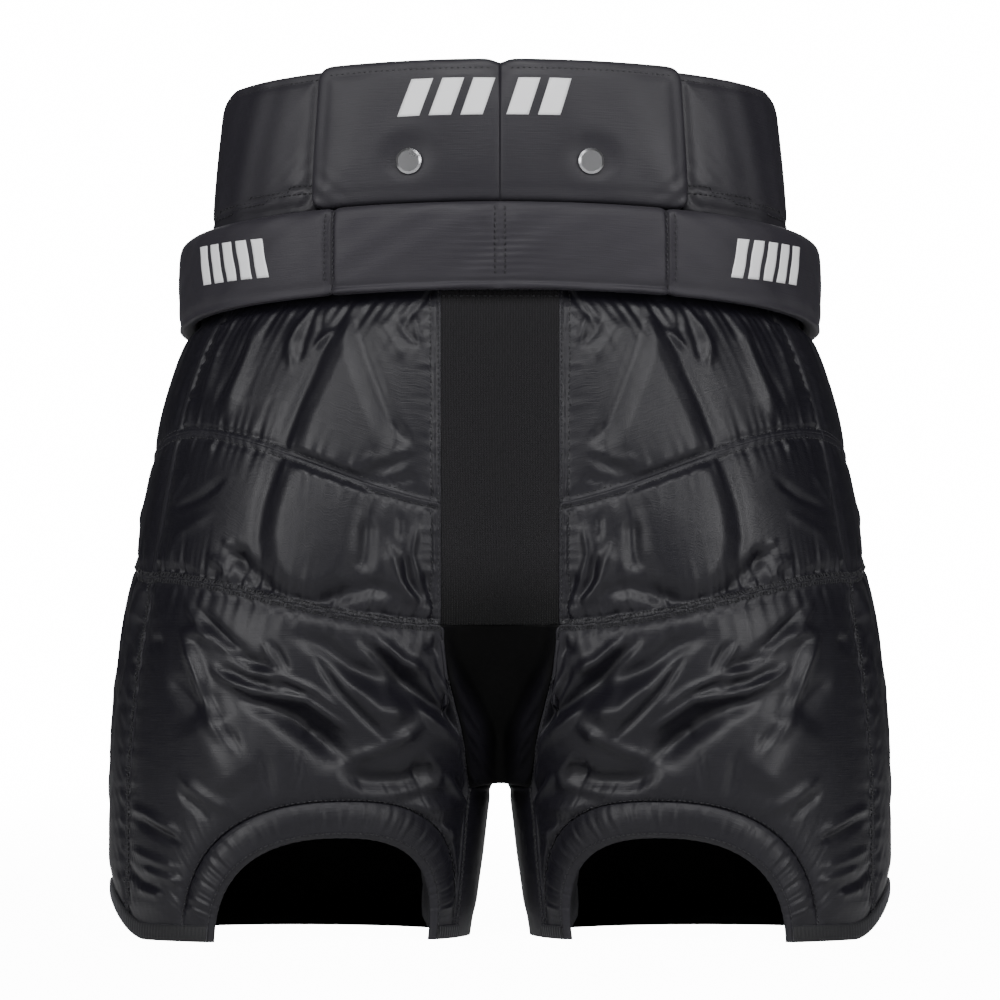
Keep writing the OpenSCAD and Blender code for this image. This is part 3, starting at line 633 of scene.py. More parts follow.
def makePanels():
    # rear thigh: columns fan out from the arch to the inner leg, the lower seam and the side
    counts = (50, 86, 60)
    corner = (142, 40)
    band = garment["archBand"]
    turns = np.linspace(180, 0, 721)
    archLine = np.stack(archPoint(turns, band), axis=1)
    chart = archLine * [garment["archScale"], 1]
    run = runOf(chart)
    marks = [0, np.interp(180 - corner[0], 180 - turns, run), np.interp(180 - corner[1], 180 - turns, run),
             run[-1]]
    spots = np.concatenate([np.linspace(marks[k], marks[k + 1], counts[k] + 1)[(k > 0):] for k in range(3)])
    inner = np.stack([np.interp(spots, run, archLine[:, 0]), np.interp(spots, run, archLine[:, 1])], axis=1)
    legH = np.linspace(0, garment["gussetTop"], counts[0] + 1)
    topA = np.linspace(backEdge(garment["gussetTop"]), -25, counts[1] + 1)
    sideH = np.linspace(lowerSeam(-25.0), hem(-25.0), counts[2] + 1)
    outer = np.concatenate([
        np.stack([backEdge(legH), legH], axis=1),
        np.stack([topA, lowerSeam(topA)], axis=1)[1:],
        np.stack([np.full(counts[2] + 1, -25.0), sideH], axis=1)[1:]])
    rows = 46
    t = np.linspace(0, 1, rows + 1)[:, None]
    # rows go from the arch outwards; the grid is turned so that rows still run up the garment
    angle = mix(inner[None, :, 0], outer[None, :, 0], t)
    h = mix(inner[None, :, 1], outer[None, :, 1], t)
    base = skin(angle, h)
    x, z = np.abs(base[..., 0]) * 1000, base[..., 2] * 1000
    inAway = np.linalg.norm((base - base[:1]) * 1000, axis=2)
    legSpots = np.linspace(0, garment["gussetTop"], 80)
    legLine = skin(backEdge(legSpots), legSpots)
    topSpots = np.linspace(-151, -25, 140)
    topLine = skin(topSpots, lowerSeam(topSpots))
    sideLine = skin(np.full(80, -25.0), np.linspace(8.5, garment["lowerSeam"][0], 80))

    def away(line):
        best = np.full(angle.shape, 1e3)
        for spot in line:
            best = np.minimum(best, np.linalg.norm(base - spot, axis=2) * 1000)
        return np.maximum(best - 0.6, 0)

    legAway, topAway, sideAway = away(legLine), away(topLine), away(sideLine)
    arc = np.broadcast_to(spots[None, :], angle.shape)
    lift = np.zeros(angle.shape)
    puffed = (1 - np.exp(-np.clip(np.minimum.reduce([legAway, topAway, sideAway]) - 3.6, 0, None)
                         / shell["puffRun"]))
    puffed = np.minimum(puffed, 1 - np.exp(-inAway / 7))
    topFade = ease(topAway / 5 + 0.1)
    legWork, _ = seamWork(legAway, z, "plain", 31)
    topWork, _ = seamWork(topAway, angle * shell["arc"], "puckered", 21)
    sideWork, _ = seamWork(sideAway, z, "puckered", 41)
    lift += legWork * topFade + topWork + sideWork * topFade
    gathers = 0.9 * ripple(arc, 51, (4.1, 6.3, 9.9)) * np.exp(-inAway / 11) - 0.8 * np.exp(-inAway / 1.6)
    foot = 0.8 * ripple(angle * 2.2, 52, (5.1, 7.7)) * np.exp(-h / 9) * ease(h / 3)
    clear = ease((np.minimum.reduce([topAway, sideAway, legAway + 2, inAway + 1]) - 2) / 5)
    lift += shell["puff"] * 1.5 * puffed + gathers + foot + folds(x, z, rearFolds, 1.2, 1.5) * clear
    lift = lift * mix(0.1, 1, ease((h - 9) / 16))
    normal = outwards(base)
    points = base + normal * (lift * 0.001)[..., None]
    held = np.maximum(ease(1.25 - np.minimum.reduce([legAway, topAway, sideAway, inAway]) / 5.5),
                      ease(1 - h / 8))
    panels["rearThigh"] = {"points": points, "normal": normal, "base": base, "held": held,
                           "worn": np.exp(-np.minimum.reduce([legAway, topAway, sideAway, inAway]) / 5),
                           "x": x, "z": z, "angle": angle, "h": h, "shape": angle.shape}

    # the band round the arch shares the rear panel's columns, so their gathers meet
    out = np.array([-2.2, -1.6, -0.4, 1.0, 3, 6, 10, 14, 18, 20.6, 22])
    sunk = np.array([4.4, 2.2, 0.5, -0.5, -0.5, 0, 0, 0, 0, 0, 0])
    turnSpots = np.interp(spots, run, turns)
    bandAngle, bandH = archPoint(turnSpots[None, :], out[:, None])
    bandH = np.maximum(bandH, 0)
    base = skin(bandAngle, bandH, sunk[:, None])
    normal = outwards(base)
    share = np.clip(out / band, 0, 1)[:, None]
    ribs = ripple(arc[:1] + 3 * share, 51, (4.1, 6.3, 9.9))
    lift = (0.75 * ribs * np.sin(np.pi * np.clip(share, 0.12, 1)) ** 0.7
            + 2.6 * np.sin(np.pi * np.clip(share * 0.96, 0, 1)) ** 0.8 + 0.9
            * ripple(arc[:1], 51, (4.1, 6.3, 9.9)) * share ** 4
            - 0.8 * share ** 12) * mix(0.1, 1, ease((bandH - 9) / 16))
    points = base + normal * (lift * 0.001)[..., None]
    panels["archFacing"] = {"points": points, "normal": normal, "base": base,
                            "held": np.ones(bandAngle.shape),
                            "worn": np.maximum(np.exp(-share * 8), np.exp(-(1 - share) * 10))
                            * np.ones(bandAngle.shape),
                            "x": np.abs(base[..., 0]) * 1000, "z": base[..., 2] * 1000,
                            "angle": bandAngle, "h": bandH, "shape": bandAngle.shape}

    # side of the thigh
    side = looseFolds(5, 10, (15, 95, 30, 210), 100, (30, 70), (3.5, 6), (0.8, 1.8))
    angle, h = panelChart(rearSide, frontSide, hem, lowerHipSeam, 32, 62)
    addPanel("sideThigh", angle, h,
             {"from": ("puckered", 41), "to": ("plain", 61), "low": ("open", 0), "high": ("puckered", 21)},
             extra=lambda x, z, a, hh, s, u: folds(s, u, side))
    # front of the thigh, over the guard
    front = looseFolds(9, 16, (20, 260, 20, 230), 70, (35, 90), (4, 8), (0.6, 1.6))
    angle, h = panelChart(frontSide, frontEdge, hem, lowerHipSeam, 56, 50)
    addPanel("frontThigh", angle, h,
             {"from": ("plain", 61), "to": ("plain", 71), "low": ("open", 0), "high": ("clean", 23)},
             puff=4.0, extra=lambda x, z, a, hh, s, u: folds(s, u, front))
    # inner leg, below the gusset
    i = np.linspace(0, 1, 15)[None, :]
    j = np.linspace(0, 1, 29)[:, None]
    h = mix(0, 100.1, j) * np.ones_like(i)
    turn = mix(-backEdge(h), 360 + backEdge(h), i)
    addPanel("innerLeg", turn, h, {"from": ("plain", 71), "to": ("plain", 31), "low": ("open", 0),
                                   "high": ("plain", 33)}, puff=1.5)
    # the seat, between its two seams
    angle, h = panelChart(backEdge, rearSide, lowerSeam, upperSeam, 118, 42)
    addPanel("midSeat", angle, h, {"from": ("clean", 81), "to": ("plain", 43), "low": ("puckered", 21),
                                   "high": ("clean", 22)},
             puff=2.2, extra=lambda x, z, a, hh, s, u: seatBulge(x, z) + folds(x, z, seatFolds, 1.1, 1.25))
    # the fold round the hip and front
    hip = looseFolds(13, 22, (0, 330, 0, 60), 82, (16, 42), (2.2, 4.2), (0.6, 1.5))
    angle, h = panelChart(rearSide, lambda h: angleAt(0.3, h), lowerHipSeam, upperHipSeam, 104, 20)
    addPanel("midHip", angle, h, {"from": ("plain", 43), "to": ("open", 0), "low": ("puckered", 21),
                                  "high": ("clean", 22)},
             puff=2.4, extra=lambda x, z, a, hh, s, u: folds(s, u, hip))
    # upper seat
    angle, h = panelChart(backEdge, rearSide, upperSeam, fixed(garment["shellTop"]), 118, 54)
    addPanel("upperSeat", angle, h,
             {"from": ("clean", 81), "to": ("plain", 45), "low": ("clean", 22), "high": ("open", 0)},
             puff=1.8, extra=lambda x, z, a, hh, s, u: seatBulge(x, z) + folds(x, z, seatFolds, 1.1, 1.3)
             + beltGathers(a, hh, 91),
             flat=underBelt)
    # upper hip and front, where the eyelets sit flat
    hipTop = looseFolds(17, 14, (0, 300, 10, 90), 80, (20, 60), (3, 6), (0.5, 1.3))
    angle, h = panelChart(rearSide, frontEdge, upperHipSeam, fixed(garment["shellTop"]), 96, 30)
    addPanel("upperHip", angle, h, {"from": ("plain", 45), "to": ("plain", 83), "low": ("clean", 22),
                                    "high": ("open", 0)},
             puff=1.8, extra=lambda x, z, a, hh, s, u: folds(s, u, hipTop) + beltGathers(a, hh, 92),
             flat=underBelt)
    print("stage: shell charts", {k: v["shape"] for k, v in panels.items()})


eyelets = {"rows": 4, "inset": 37.0, "low": 329.1, "high": 388.0, "flat": 13.0, "hole": 3.9}


def eyeletSpots():
    h = np.linspace(eyelets["low"], eyelets["high"], eyelets["rows"])
    return angleAt(eyelets["inset"], h), h


def underBelt(lift, x, z, angle, h):
    # nothing stands proud where the belt lies on the shell, and the cloth is flat at the eyelets
    belt = ease((h - (garment["beltLow"] - 9)) / 8)
    lift = mix(lift, np.minimum(lift, 0.4), belt)
    at, heights = eyeletSpots()
    for a, hh in zip(at, heights):
        here = skin(a, hh) * 1000
        reach = np.sqrt((x - abs(here[0])) ** 2 + (z - here[2]) ** 2) + np.where(angle > 40, 0, 1e3)
        lift = mix(0.05, lift, ease((reach - 6.5) / (eyelets["flat"] - 6.5)))
    return lift


shellCloth = {
    "frames": 14,
    # how much of the extra cloth each panel gets
    "fullness": {"rearThigh": 1.0, "midSeat": 0.42, "upperSeat": 0.3, "midHip": 0.4, "upperHip": 0.3,
                 "sideThigh": 0.5, "frontThigh": 0.35, "innerLeg": 0.5},
    "settings": {
        "quality": 5, "mass": 0.3, "tension_stiffness": 25, "compression_stiffness": 25, "shear_stiffness": 12,
        "bending_stiffness": 0.6, "tension_damping": 8, "compression_damping": 8, "shear_damping": 8,
        "bending_damping": 1.5, "air_damping": 2, "vertex_group_mass": "held", "vertex_group_shrink": "loose",
        "shrink_min": 0, "shrink_max": -0.075, "use_pressure": True, "uniform_pressure_force": 1.0},
    "mostOut": 3.6, "mostAlong": 2.0,  # mm that the cloth may move
}


def simulateShell():
    # the cloth is cut a little larger than the padding it covers, so it wrinkles between its seams
    names = [name for name in panels if name in shellCloth["fullness"]]
    spots, faces, held, loose, start = [], [], [], [], 0
    for name in names:
        panel = panels[name]
        rows, columns = panel["shape"]
        spots.append(panel["points"].reshape(-1, 3))
        faces += gridFaces(rows, columns, start)
        held.append(panel["held"].ravel())
        loose.append(np.full(rows * columns, shellCloth["fullness"][name]))
        start += rows * columns
    spots, held, loose = np.concatenate(spots), np.concatenate(held), np.concatenate(loose)
    cloth = meshFrom("shellCloth", spots, faces)
    for label, weights in (("held", held), ("loose", loose)):
        group = cloth.vertex_groups.new(name=label)
        for step in range(0, 101, 4):
            chosen = np.nonzero(np.round(weights * 25) * 4 == step)[0]
            if len(chosen) and step:
                group.add(chosen.tolist(), step / 100, "REPLACE")
    modifier = cloth.modifiers.new("cloth", "CLOTH")
    for key, value in shellCloth["settings"].items():
        setattr(modifier.settings, key, value)
    modifier.settings.effector_weights.gravity = 0
    scene = bpy.context.scene
    for run in (scene, modifier.point_cache):
        run.frame_start, run.frame_end = 1, shellCloth["frames"]
    for step in range(1, shellCloth["frames"] + 1):
        scene.frame_set(step)
    result = np.zeros(len(spots) * 3)
    evaluated = cloth.evaluated_get(bpy.context.evaluated_depsgraph_get())
    evaluated.data.vertices.foreach_get("co", result)
    result = result.reshape(-1, 3)
    scene.frame_set(1)
    bpy.data.objects.remove(cloth)
    start = 0
    for name in names:
        panel = panels[name]
        rows, columns = panel["shape"]
        moved = (result[start:start + rows * columns].reshape(rows, columns, 3) - panel["points"]) * 1000
        start += rows * columns
        out = np.sum(moved * panel["normal"], axis=2)
        slid = moved - out[..., None] * panel["normal"]
        kept = shellCloth["mostOut"] * np.tanh(out / shellCloth["mostOut"])
        reach = np.linalg.norm(slid, axis=2, keepdims=True)
        slid = slid * np.minimum(1, shellCloth["mostAlong"] / np.maximum(reach, 1e-6))
        free = (1 - panel["held"])[..., None]
        print("  ", name, "moved at most", round(float(np.abs(out).max()), 2), "mm; mean",
              round(float(np.abs(out).mean()), 2))
        panel["points"] = panel["points"] + (kept[..., None] * panel["normal"] + slid) * free * 0.001


# stitching: short threads that lie along the seams
thread = {"length": 2.7, "pitch": 3.8, "radius": 0.4, "lift": 0.16, "ladderLength": 4.2, "ladderPitch": 2.7}


def threadRun(line, normals, into, ladder=False):
    # threads along a line, or like rungs across it
    line = np.asarray(line, float) * 1000
    run = runOf(line)
    length, pitch = ((thread["ladderLength"], thread["ladderPitch"]) if ladder
                     else (thread["length"], thread["pitch"]))
    count = int(run[-1] // pitch)
    if count < 1:
        return
    starts = (np.arange(count) + 0.5) * run[-1] / count
    half = length / 2

    def at(values, spots):
        return np.stack([np.interp(spots, run, values[:, k]) for k in range(3)], axis=1)

    a, b = at(line, starts - half), at(line, starts + half)
    middle = at(line, starts)
    normal = at(np.asarray(normals, float), starts)
    way = b - a
    way /= np.maximum(np.linalg.norm(way, axis=1, keepdims=True), 1e-9)
    normal -= np.sum(normal * way, axis=1, keepdims=True) * way
    normal /= np.maximum(np.linalg.norm(normal, axis=1, keepdims=True), 1e-9)
    side = np.cross(way, normal)
    if ladder:
        way, side = side, way
    middle = middle + normal * thread["lift"]
    # five rings along each thread: place, width and lift; its two ends are points
    rings = [(-0.5, 0.0, -0.25), (-0.32, 0.85, 0.0), (0.0, 1.0, 0.12), (0.32, 0.85, 0.0), (0.5, 0.0, -0.25)]
    turns = np.linspace(0, 2 * math.pi, 6, endpoint=False)
    for share, wide, up in rings:
        centre = middle + way * (share * length) + normal * up
        if wide == 0:
            into.append(centre[:, None, :])
        else:
            circle = (normal[:, None] * np.cos(turns)[None, :, None] + side[:, None]
                      * np.sin(turns)[None, :, None])
            into.append(centre[:, None, :] + circle * (wide * thread["radius"]))
    into.append(count)


def threadPiece(name, into):
    points, faces, start, k = [], [], 0, 0
    while k < len(into):
        parts, count = into[k:k + 5], into[k + 5]
        k += 6
        block = np.concatenate(parts, axis=1)  # count x 20 x 3
        points.append(block.reshape(-1, 3))
        for n in range(count):
            s = start + n * 20
            for q in range(6):
                r = (q + 1) % 6
                faces.append((s, s + 1 + r, s + 1 + q))
                for ring in (1, 7):
                    faces.append((s + ring + q, s + ring + r, s + ring + 6 + r, s + ring + 6 + q))
                faces.append((s + 19, s + 13 + q, s + 13 + r))
        start += count * 20
    return meshFrom(name, np.concatenate(points) * 0.001, faces)


def gridSample(panel, rowSpots, columnSpots):  # points and normals between a grid's rows and columns
    points = panel["points"]
    normal = outwards(points)
    rowSpots = np.clip(rowSpots, 0, points.shape[0] - 1.001)
    columnSpots = np.clip(columnSpots, 0, points.shape[1] - 1.001)
    j, i = np.floor(rowSpots).astype(int), np.floor(columnSpots).astype(int)
    v, u = (rowSpots - j)[:, None], (columnSpots - i)[:, None]
    out = []
    for values in (points, normal):
        out.append(mix(mix(values[j, i], values[j, i + 1], u), mix(values[j + 1, i], values[j + 1, i + 1], u),
                       v))
    return out


def sideThreads(panel, side, inset, into, ladder=False):
    points = panel["points"]
    rows, columns = points.shape[:2]
    across, up = gridLengths(points)
    across, up = across * 1000, up * 1000
    if side in ("low", "high"):
        spots = []
        for i in range(columns):
            run = up[:, i]
            want = inset if side == "low" else run[-1] - inset
            spots.append(np.interp(want, run, np.arange(rows)))
        rowSpots, columnSpots = np.array(spots), np.arange(columns).astype(float)
    else:
        spots = []
        for j in range(rows):
            run = across[j]
            want = inset if side == "from" else run[-1] - inset
            spots.append(np.interp(want, run, np.arange(columns)))
        rowSpots, columnSpots = np.arange(rows).astype(float), np.array(spots)
    line, normal = gridSample(panel, rowSpots, columnSpots)
    threadRun(line, normal, into, ladder)


def nearThreads(panel, rowSpot, into, first=0, last=None):
    columns = panel["points"].shape[1]
    last = columns - 1 if last is None else last
    spots = np.arange(first, last + 1).astype(float)
    line, normal = gridSample(panel, np.full(len(spots), float(rowSpot)), spots)
    threadRun(line, normal, into)


makePanels()
simulateShell()
print("stage: shell cloth settled")

liningFinish, shellFinish = "lining", "shell_nylon"
made = {}  # every piece of this script, by name


def bothSides(piece, name):  # the left piece and its mirror image
    piece.name = piece.data.name = name + "Left"
    return ("left", piece), ("right", mirrored(piece, name + "Right"))


def standsFor(piece, slot, *nodes, body=None, fill=None):  # fill is given for a padded piece; it is not used
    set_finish(piece, slot)
    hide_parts(*nodes)
    if body:
        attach(piece, body)
    made[piece.name] = piece


shellPieces = {
    "rearThigh": ("rear_thigh_panel", "rearThighPanel"), "archFacing": ("arch_facing", "archFacing"),
    "sideThigh": ("side_thigh_panel", "sideThighPanel"), "frontThigh": ("front_thigh_panel", "frontThighPanel"),
    "innerLeg": ("inner_leg_panel", "innerLegPanel"), "midSeat": ("mid_seat_panel", "midSeatPanel"),
    "midHip": ("mid_hip_panel", "midHipPanel"), "upperSeat": ("upper_seat_panel", "upperSeatPanel"),
    "upperHip": ("upper_hip_panel", "upperHipPanel"),
}


def cutEyelets(piece):
    # the cloth is open where an eyelet's barrel goes through
    at, heights = eyeletSpots()
    work = bmesh.new()
    work.from_mesh(piece.data)
    centres = [skin(a, h) for a, h in zip(at, heights)]
    chosen = []
    for face in work.faces:
        middle = np.array(face.calc_center_median())
        if any(np.linalg.norm(middle - c) * 1000 < eyelets["hole"] for c in centres):
            chosen.append(face)
    bmesh.ops.delete(work, geom=chosen, context="FACES")
    for vert in work.verts:
        if vert.is_boundary:
            for c in centres:
                away = np.array(vert.co) - c
                reach = np.linalg.norm(away) * 1000
                if reach < 6.5:
                    vert.co = (c + away / max(reach, 1e-3) * 4.1).tolist()
    work.to_mesh(piece.data)
    work.free()


for name, (node, label) in shellPieces.items():
    panel = panels[name]
    chart = np.stack([panel["angle"] * 0.00225, panel["h"] * 0.001], axis=-1) if name == "rearThigh" else None
    piece = gridPiece(label, panel["points"], uv=chart, marks={"worn": panel["worn"]})
    applied(piece, "SUBSURF", levels=1, render_levels=1, boundary_smooth="PRESERVE_CORNERS")
    if name == "upperHip":
        cutEyelets(piece)
    applied(piece, "SOLIDIFY", thickness=shell["wall"] * 0.001, offset=-1, use_even_offset=False)
    for side, one in bothSides(piece, label):
        standsFor(one, shellFinish, f"{node}_{side}")
print("stage: shell panels")

# stretch panel and gusset
knit = {"dip": 12.0, "wall": 1.5, "columns": 40, "rows": 78}


def knitPoints(columns, rows, depth=0.0):
    i = np.linspace(0, 1, columns + 1)[None, :]
    h = np.linspace(garment["gussetTop"], garment["shellTop"], rows + 1)[:, None]
    half = middleHalf(h, garment["knitWidth"])
    edge = skin(-angleAt(half, h), h)
    across = 1 - 2 * i
    dip = (knit["dip"] * ease((garment["beltLow"] - h) / (garment["beltLow"] - garment["gussetTop"]))
           * (1 - across ** 2))
    sag = 0.7 * np.sin(h / 17 + 2 * across) * (1 - across ** 2) * ease((300 - h) / 80)
    x = across * half * 0.001
    y = edge[..., 1] + (dip + depth + sag - 0.9 * (1 - np.abs(across) ** 8)) * 0.001
    return np.stack([x, y, np.broadcast_to(edge[..., 2], x.shape)], axis=-1)


knitPanel = walled(gridPiece("stretchSeatPanel", knitPoints(knit["columns"], knit["rows"])), knit["wall"])
standsFor(knitPanel, "stretch_knit", "stretch_seat_panel")


def gussetPoints(columns):
    top, fold = garment["gussetTop"], garment["foldLow"]
    path = [(-1, top), (-1, mix(top, 100, 0.33)), (-1, mix(top, 100, 0.67)), (-1, 100), (-0.5, 100), (0, 100),
            (0.5, 100), (1, 100), (1, mix(fold, 100, 0.67)), (1, mix(fold, 100, 0.33)), (1, fold)]

    def edge(way, h):
        if abs(way) == 1:
            return (skin(way * edgeAngle(h, garment["knitWidth"] if way < 0 else garment["flyWidth"]), h)
                    * 1000)
        return skin(180.0 if way == 0 else math.copysign(mix(180, 152, abs(way) * 0.7), way), h) * 1000

    line = np.array([edge(*p) for p in path])
    steps = len(path) - 1
    rows = []
    for k in range(steps + 1):
        before, after = line[max(k - 1, 0)], line[min(k + 1, steps)]
        end = -1 if k == 0 else 1 if k == steps else 0
        way = np.array([0, 0, end]) if end else np.array([0, after[1] - before[1], after[2] - before[2]])
        inward = np.array([0, -way[2], way[1]]) / np.linalg.norm(way)
        across = np.linspace(-1, 1, columns + 1)[:, None]
        dip = (knit["dip"], 19, 14, 3, 3)[k] if k < 5 else 3
        rows.append(np.concatenate([across * abs(line[k][0]), np.full_like(across, line[k][1]),
                                    np.full_like(across, line[k][2])], axis=1)
                    + inward * dip * (1 - across ** 2))
    return np.array(rows) * 0.001


gussetRows = gussetPoints(30)
gussetFine = np.stack([evenly(gussetRows[:, column], 120) for column in range(31)], axis=1)
gussetNormal = outwards(gussetFine)
gussetS = np.linspace(0, 1, 120)[:, None]
gussetA = np.linspace(-1, 1, 31)[None, :]
gussetWave = ((0.9 * ripple(gussetS * 330, 77, (14, 21, 33)) * (1 - gussetA ** 4))
              * ease((gussetS - 0.04) / 0.1))
# the fullness of both legs folds over the gusset and closes it towards the bottom
gx, gy, gz = (gussetFine[..., k] * 1000 for k in range(3))
rear = (gy < 0) * ease((gz - 99) / 5)
lobe = ease((np.abs(gx) - mix(29, 1.5, ease((202 - gz) / 72))) / 13) * rear
sunk = np.interp(gz, [100, 135, 171, 205.7], [3, 14, 19, 12]) * (1 - gussetA ** 2)
drape = (lobe * (sunk + 1.2) + lobe * 1.9 * ripple(gz - 1.5 * np.abs(gx), 78, (10, 14, 21))
         * ease((1 - np.abs(gussetA)) / 0.2))
gussetFine = gussetFine + gussetNormal * (gussetWave * (1 - rear) * 0.001)[..., None]
gussetFine[..., 1] -= drape * 0.001
# painted shade on the gusset: the lobes of leg cloth are marked to be painted lighter, while the middle stays
# near black as the shadow of the cleft; the front part is marked a little
gussetLitMark = lobe * ease((0.97 - np.abs(gussetA)) / 0.1) + (1 - rear) * 0.2
gusset = walled(gridPiece("crotchGusset", gussetFine, marks={"worn": gussetLitMark}), 1.4)
standsFor(gusset, shellFinish, "crotch_gusset")
print("stage: stretch panel and gusset")


# slabs: padded or flat pieces with rolled edges
def slab(name, place, size, counts, front, back, roll=1.5, crown=(0.0, 0.0), corners=0.0, shapeIt=None,
         smooth=1):
    # size in mm; place(u, v, depth) with u and v from 0 to 1
    def spread(length, count):
        inner = np.linspace(roll, length - roll, count - 3)
        return np.concatenate([[0, roll * 0.12, roll * 0.45], inner,
                               [length - roll * 0.45, length - roll * 0.12, length]])

    u, v = spread(size[0], counts[0]), spread(size[1], counts[1])
    columns, rows = len(u), len(v)
    across, up = np.meshgrid(u, v)
    ring = np.minimum.reduce([np.arange(columns)[None, :] * np.ones((rows, 1)),
                              (columns - 1 - np.arange(columns))[None, :] * np.ones((rows, 1)),
                              np.arange(rows)[:, None] * np.ones((1, columns)),
                              (rows - 1 - np.arange(rows))[:, None] * np.ones((1, columns))]).astype(int)
    if corners:
        for cu in (0, 1):
            for cv in (0, 1):
                du = across if cu == 0 else size[0] - across
                dv = up if cv == 0 else size[1] - up
                radius = corners if np.isscalar(corners) else corners[cu + 2 * cv]
                if radius <= 0:
                    continue
                a, b = np.clip(1 - du / radius, 0, None), np.clip(1 - dv / radius, 0, None)
                near = (a > 0) & (b > 0)
                shrink = np.where(near, np.maximum(a, b) / np.maximum(np.hypot(a, b), 1e-9), 1)
                newU, newV = radius * (1 - a * shrink), radius * (1 - b * shrink)
                across = np.where(near, newU if cu == 0 else size[0] - newU, across)
                up = np.where(near, newV if cv == 0 else size[1] - newV, up)
    middle = (front + back) / 2
    shares = np.array([0, 0.62, 0.9, 1.0])[np.clip(ring, 0, 3)]
    edge = np.minimum.reduce([across, size[0] - across, up, size[1] - up])
    bulge = 1 - np.exp(-np.clip(edge - roll, 0, None) / 12)
    u01, v01 = across / size[0], up / size[1]
    outer = middle + (front - middle) * shares - crown[0] * bulge
    inner = middle + (back - middle) * shares + crown[1] * bulge
    if shapeIt is not None:
        outer = outer + shapeIt(u01, v01, edge) * (ring > 1)
    a, b = place(u01, v01, outer), place(u01, v01, inner)
    faces = gridFaces(rows, columns)
    total = rows * columns
    index = np.arange(total).reshape(rows, columns)
    other = np.where(ring == 0, index, index + total)
    for j in range(rows - 1):
        for i in range(columns - 1):
            faces.append((int(other[j, i]), int(other[j, i + 1]), int(other[j + 1, i + 1]),
                          int(other[j + 1, i])))
    uv = np.stack([across, up], axis=-1) * 0.001
    points = np.concatenate([a.reshape(-1, 3), b.reshape(-1, 3)])
    piece = meshFrom(name, points, faces, np.concatenate([uv.reshape(-1, 2)] * 2),
                     {"worn": np.concatenate([np.exp(-edge / 3).ravel()] * 2)})
    used = np.zeros(len(points), bool)
    used[np.unique(np.concatenate([np.array(f) for f in faces]))] = True
    if not used.all():
        work = bmesh.new()
        work.from_mesh(piece.data)
        loose = [v for v in work.verts if not v.link_faces]
        bmesh.ops.delete(work, geom=loose, context="VERTS")
        work.to_mesh(piece.data)
        work.free()
    if smooth:
        applied(piece, "SUBSURF", levels=smooth, render_levels=smooth)
    return piece, (a, across, up)


def panelPlace(fromAngle, toAngle, low, high):
    def place(u, v, depth):
        h = np.full(np.shape(u), 200.0)
        for _ in range(6):
            angle = mix(fromAngle(h), toAngle(h), u)
            h = mix(low(angle), high(angle), v)
        return skin(angle, h, depth)
    return place


# the wrap belt
belt = {
    "profile": [(404.0, -5.0), (402.7, -8.0), (402.5, -10.8), (403.3, -13.0), (404.9, -14.0), (406.5, -13.7),
                (407.3, -12.7), (408.2, -13.5), (409.6, -14.5), (412, -15.0), (416, -15.3), (422, -15.6),
                (430, -15.8), (438, -15.8), (446, -15.6), (452, -15.2), (456, -14.5), (458.6, -13.3),
                (460.2, -11.2), (460.8, -8.8), (460.4, -6.4), (459.2, -4.4), (456.5, -3.0), (452, -2.4),
                (440, -2.3), (425, -2.3), (412, -2.5), (406, -3.3)],
    "jointX": 112, "endX": 26, "column": 3.4,
    "arc": 3.62,  # mm along the belt for each degree round it
}
beltJoint = -float(angleAt(belt["jointX"], 460.0, -15.0))
beltEnd = float(angleAt(belt["endX"], 460.0, -15.0))


def beltFace(turn, h, depth, amount=1.0):
    # the face is slightly uneven, pulled in at the seams and rippled beside the one at the middle
    turn = np.asarray(turn, float)
    s = (turn + 90) * belt["arc"]
    wave = 0.55 * ripple(s, 101, (47, 71, 113)) + 0.35 * ripple(s * 0.6 + h * 1.1, 102, (23, 37, 59))
    seam = np.exp(-(s / 2.8) ** 2) * 2.0
    for side in (-1, 1):
        seam = seam + 1.2 * np.exp(-((s - side * (beltJoint + 90) * belt["arc"]) / 1.6) ** 2)
    beside = np.exp(-(np.abs(s) / 26) ** 2) * (1 - 0.7 * ease((h - 425) / 20))
    ribs = 0.34 * np.sin(2 * math.pi * h / 4.4 + 0.7 * np.sin(s / 9)) * beside
    pleat = (0.9 * np.exp(-((s - 9) / 4) ** 2) * ease((h - 440) / 10) - 0.7 * np.exp(-((s + 7) / 3) ** 2)
             * ease((h - 446) / 8))
    return depth - amount * (wave + ribs + pleat - seam)


def beltPart(name, fromTurn, toTurn, profileCount):
    line = np.array(belt["profile"], float)
    closed = np.concatenate([line, line[:1]])
    profile = evenly(closed, profileCount + 1)[:-1]
    length = abs(toTurn - fromTurn) * belt["arc"]
    columns = 2 * int(length / belt["column"] / 2)
    turn = np.linspace(fromTurn, toTurn, columns + 1)[None, :]
    h, depth = profile[:, :1], profile[:, 1:]
    face = ease((-depth - 11) / 3)
    # the cut ends are closed and rounded
    end = np.minimum(np.abs(turn - fromTurn), np.abs(turn - toTurn)) * belt["arc"]
    tuck = np.exp(-end / 1.4)
    depth = beltFace(turn, h, depth, face)
    depth = mix(depth, -8.6, 0.35 * tuck)
    h = mix(h * np.ones_like(turn), 431, 0.05 * tuck)
    points = around(turn * np.ones_like(h), h, depth)
    piece = ringPiece(name, points, marks={"worn": np.exp(-np.minimum(np.abs(h - 460), np.abs(h - 408)) / 3)})
    return applied(piece, "SUBSURF", levels=1, render_levels=1)


beltBack = beltPart("beltBack", -180 - beltJoint, beltJoint, 92)
beltLeft = beltPart("beltLeft", beltJoint + 0.05, beltEnd, 44)
beltRight = mirrored(beltLeft, "beltRight")
for piece, node in ((beltBack, "belt_back"), (beltLeft, "belt_left"), (beltRight, "belt_right")):
    standsFor(piece, "belt_nylon", node, body="waist", fill=0.7)
print("stage: belt")


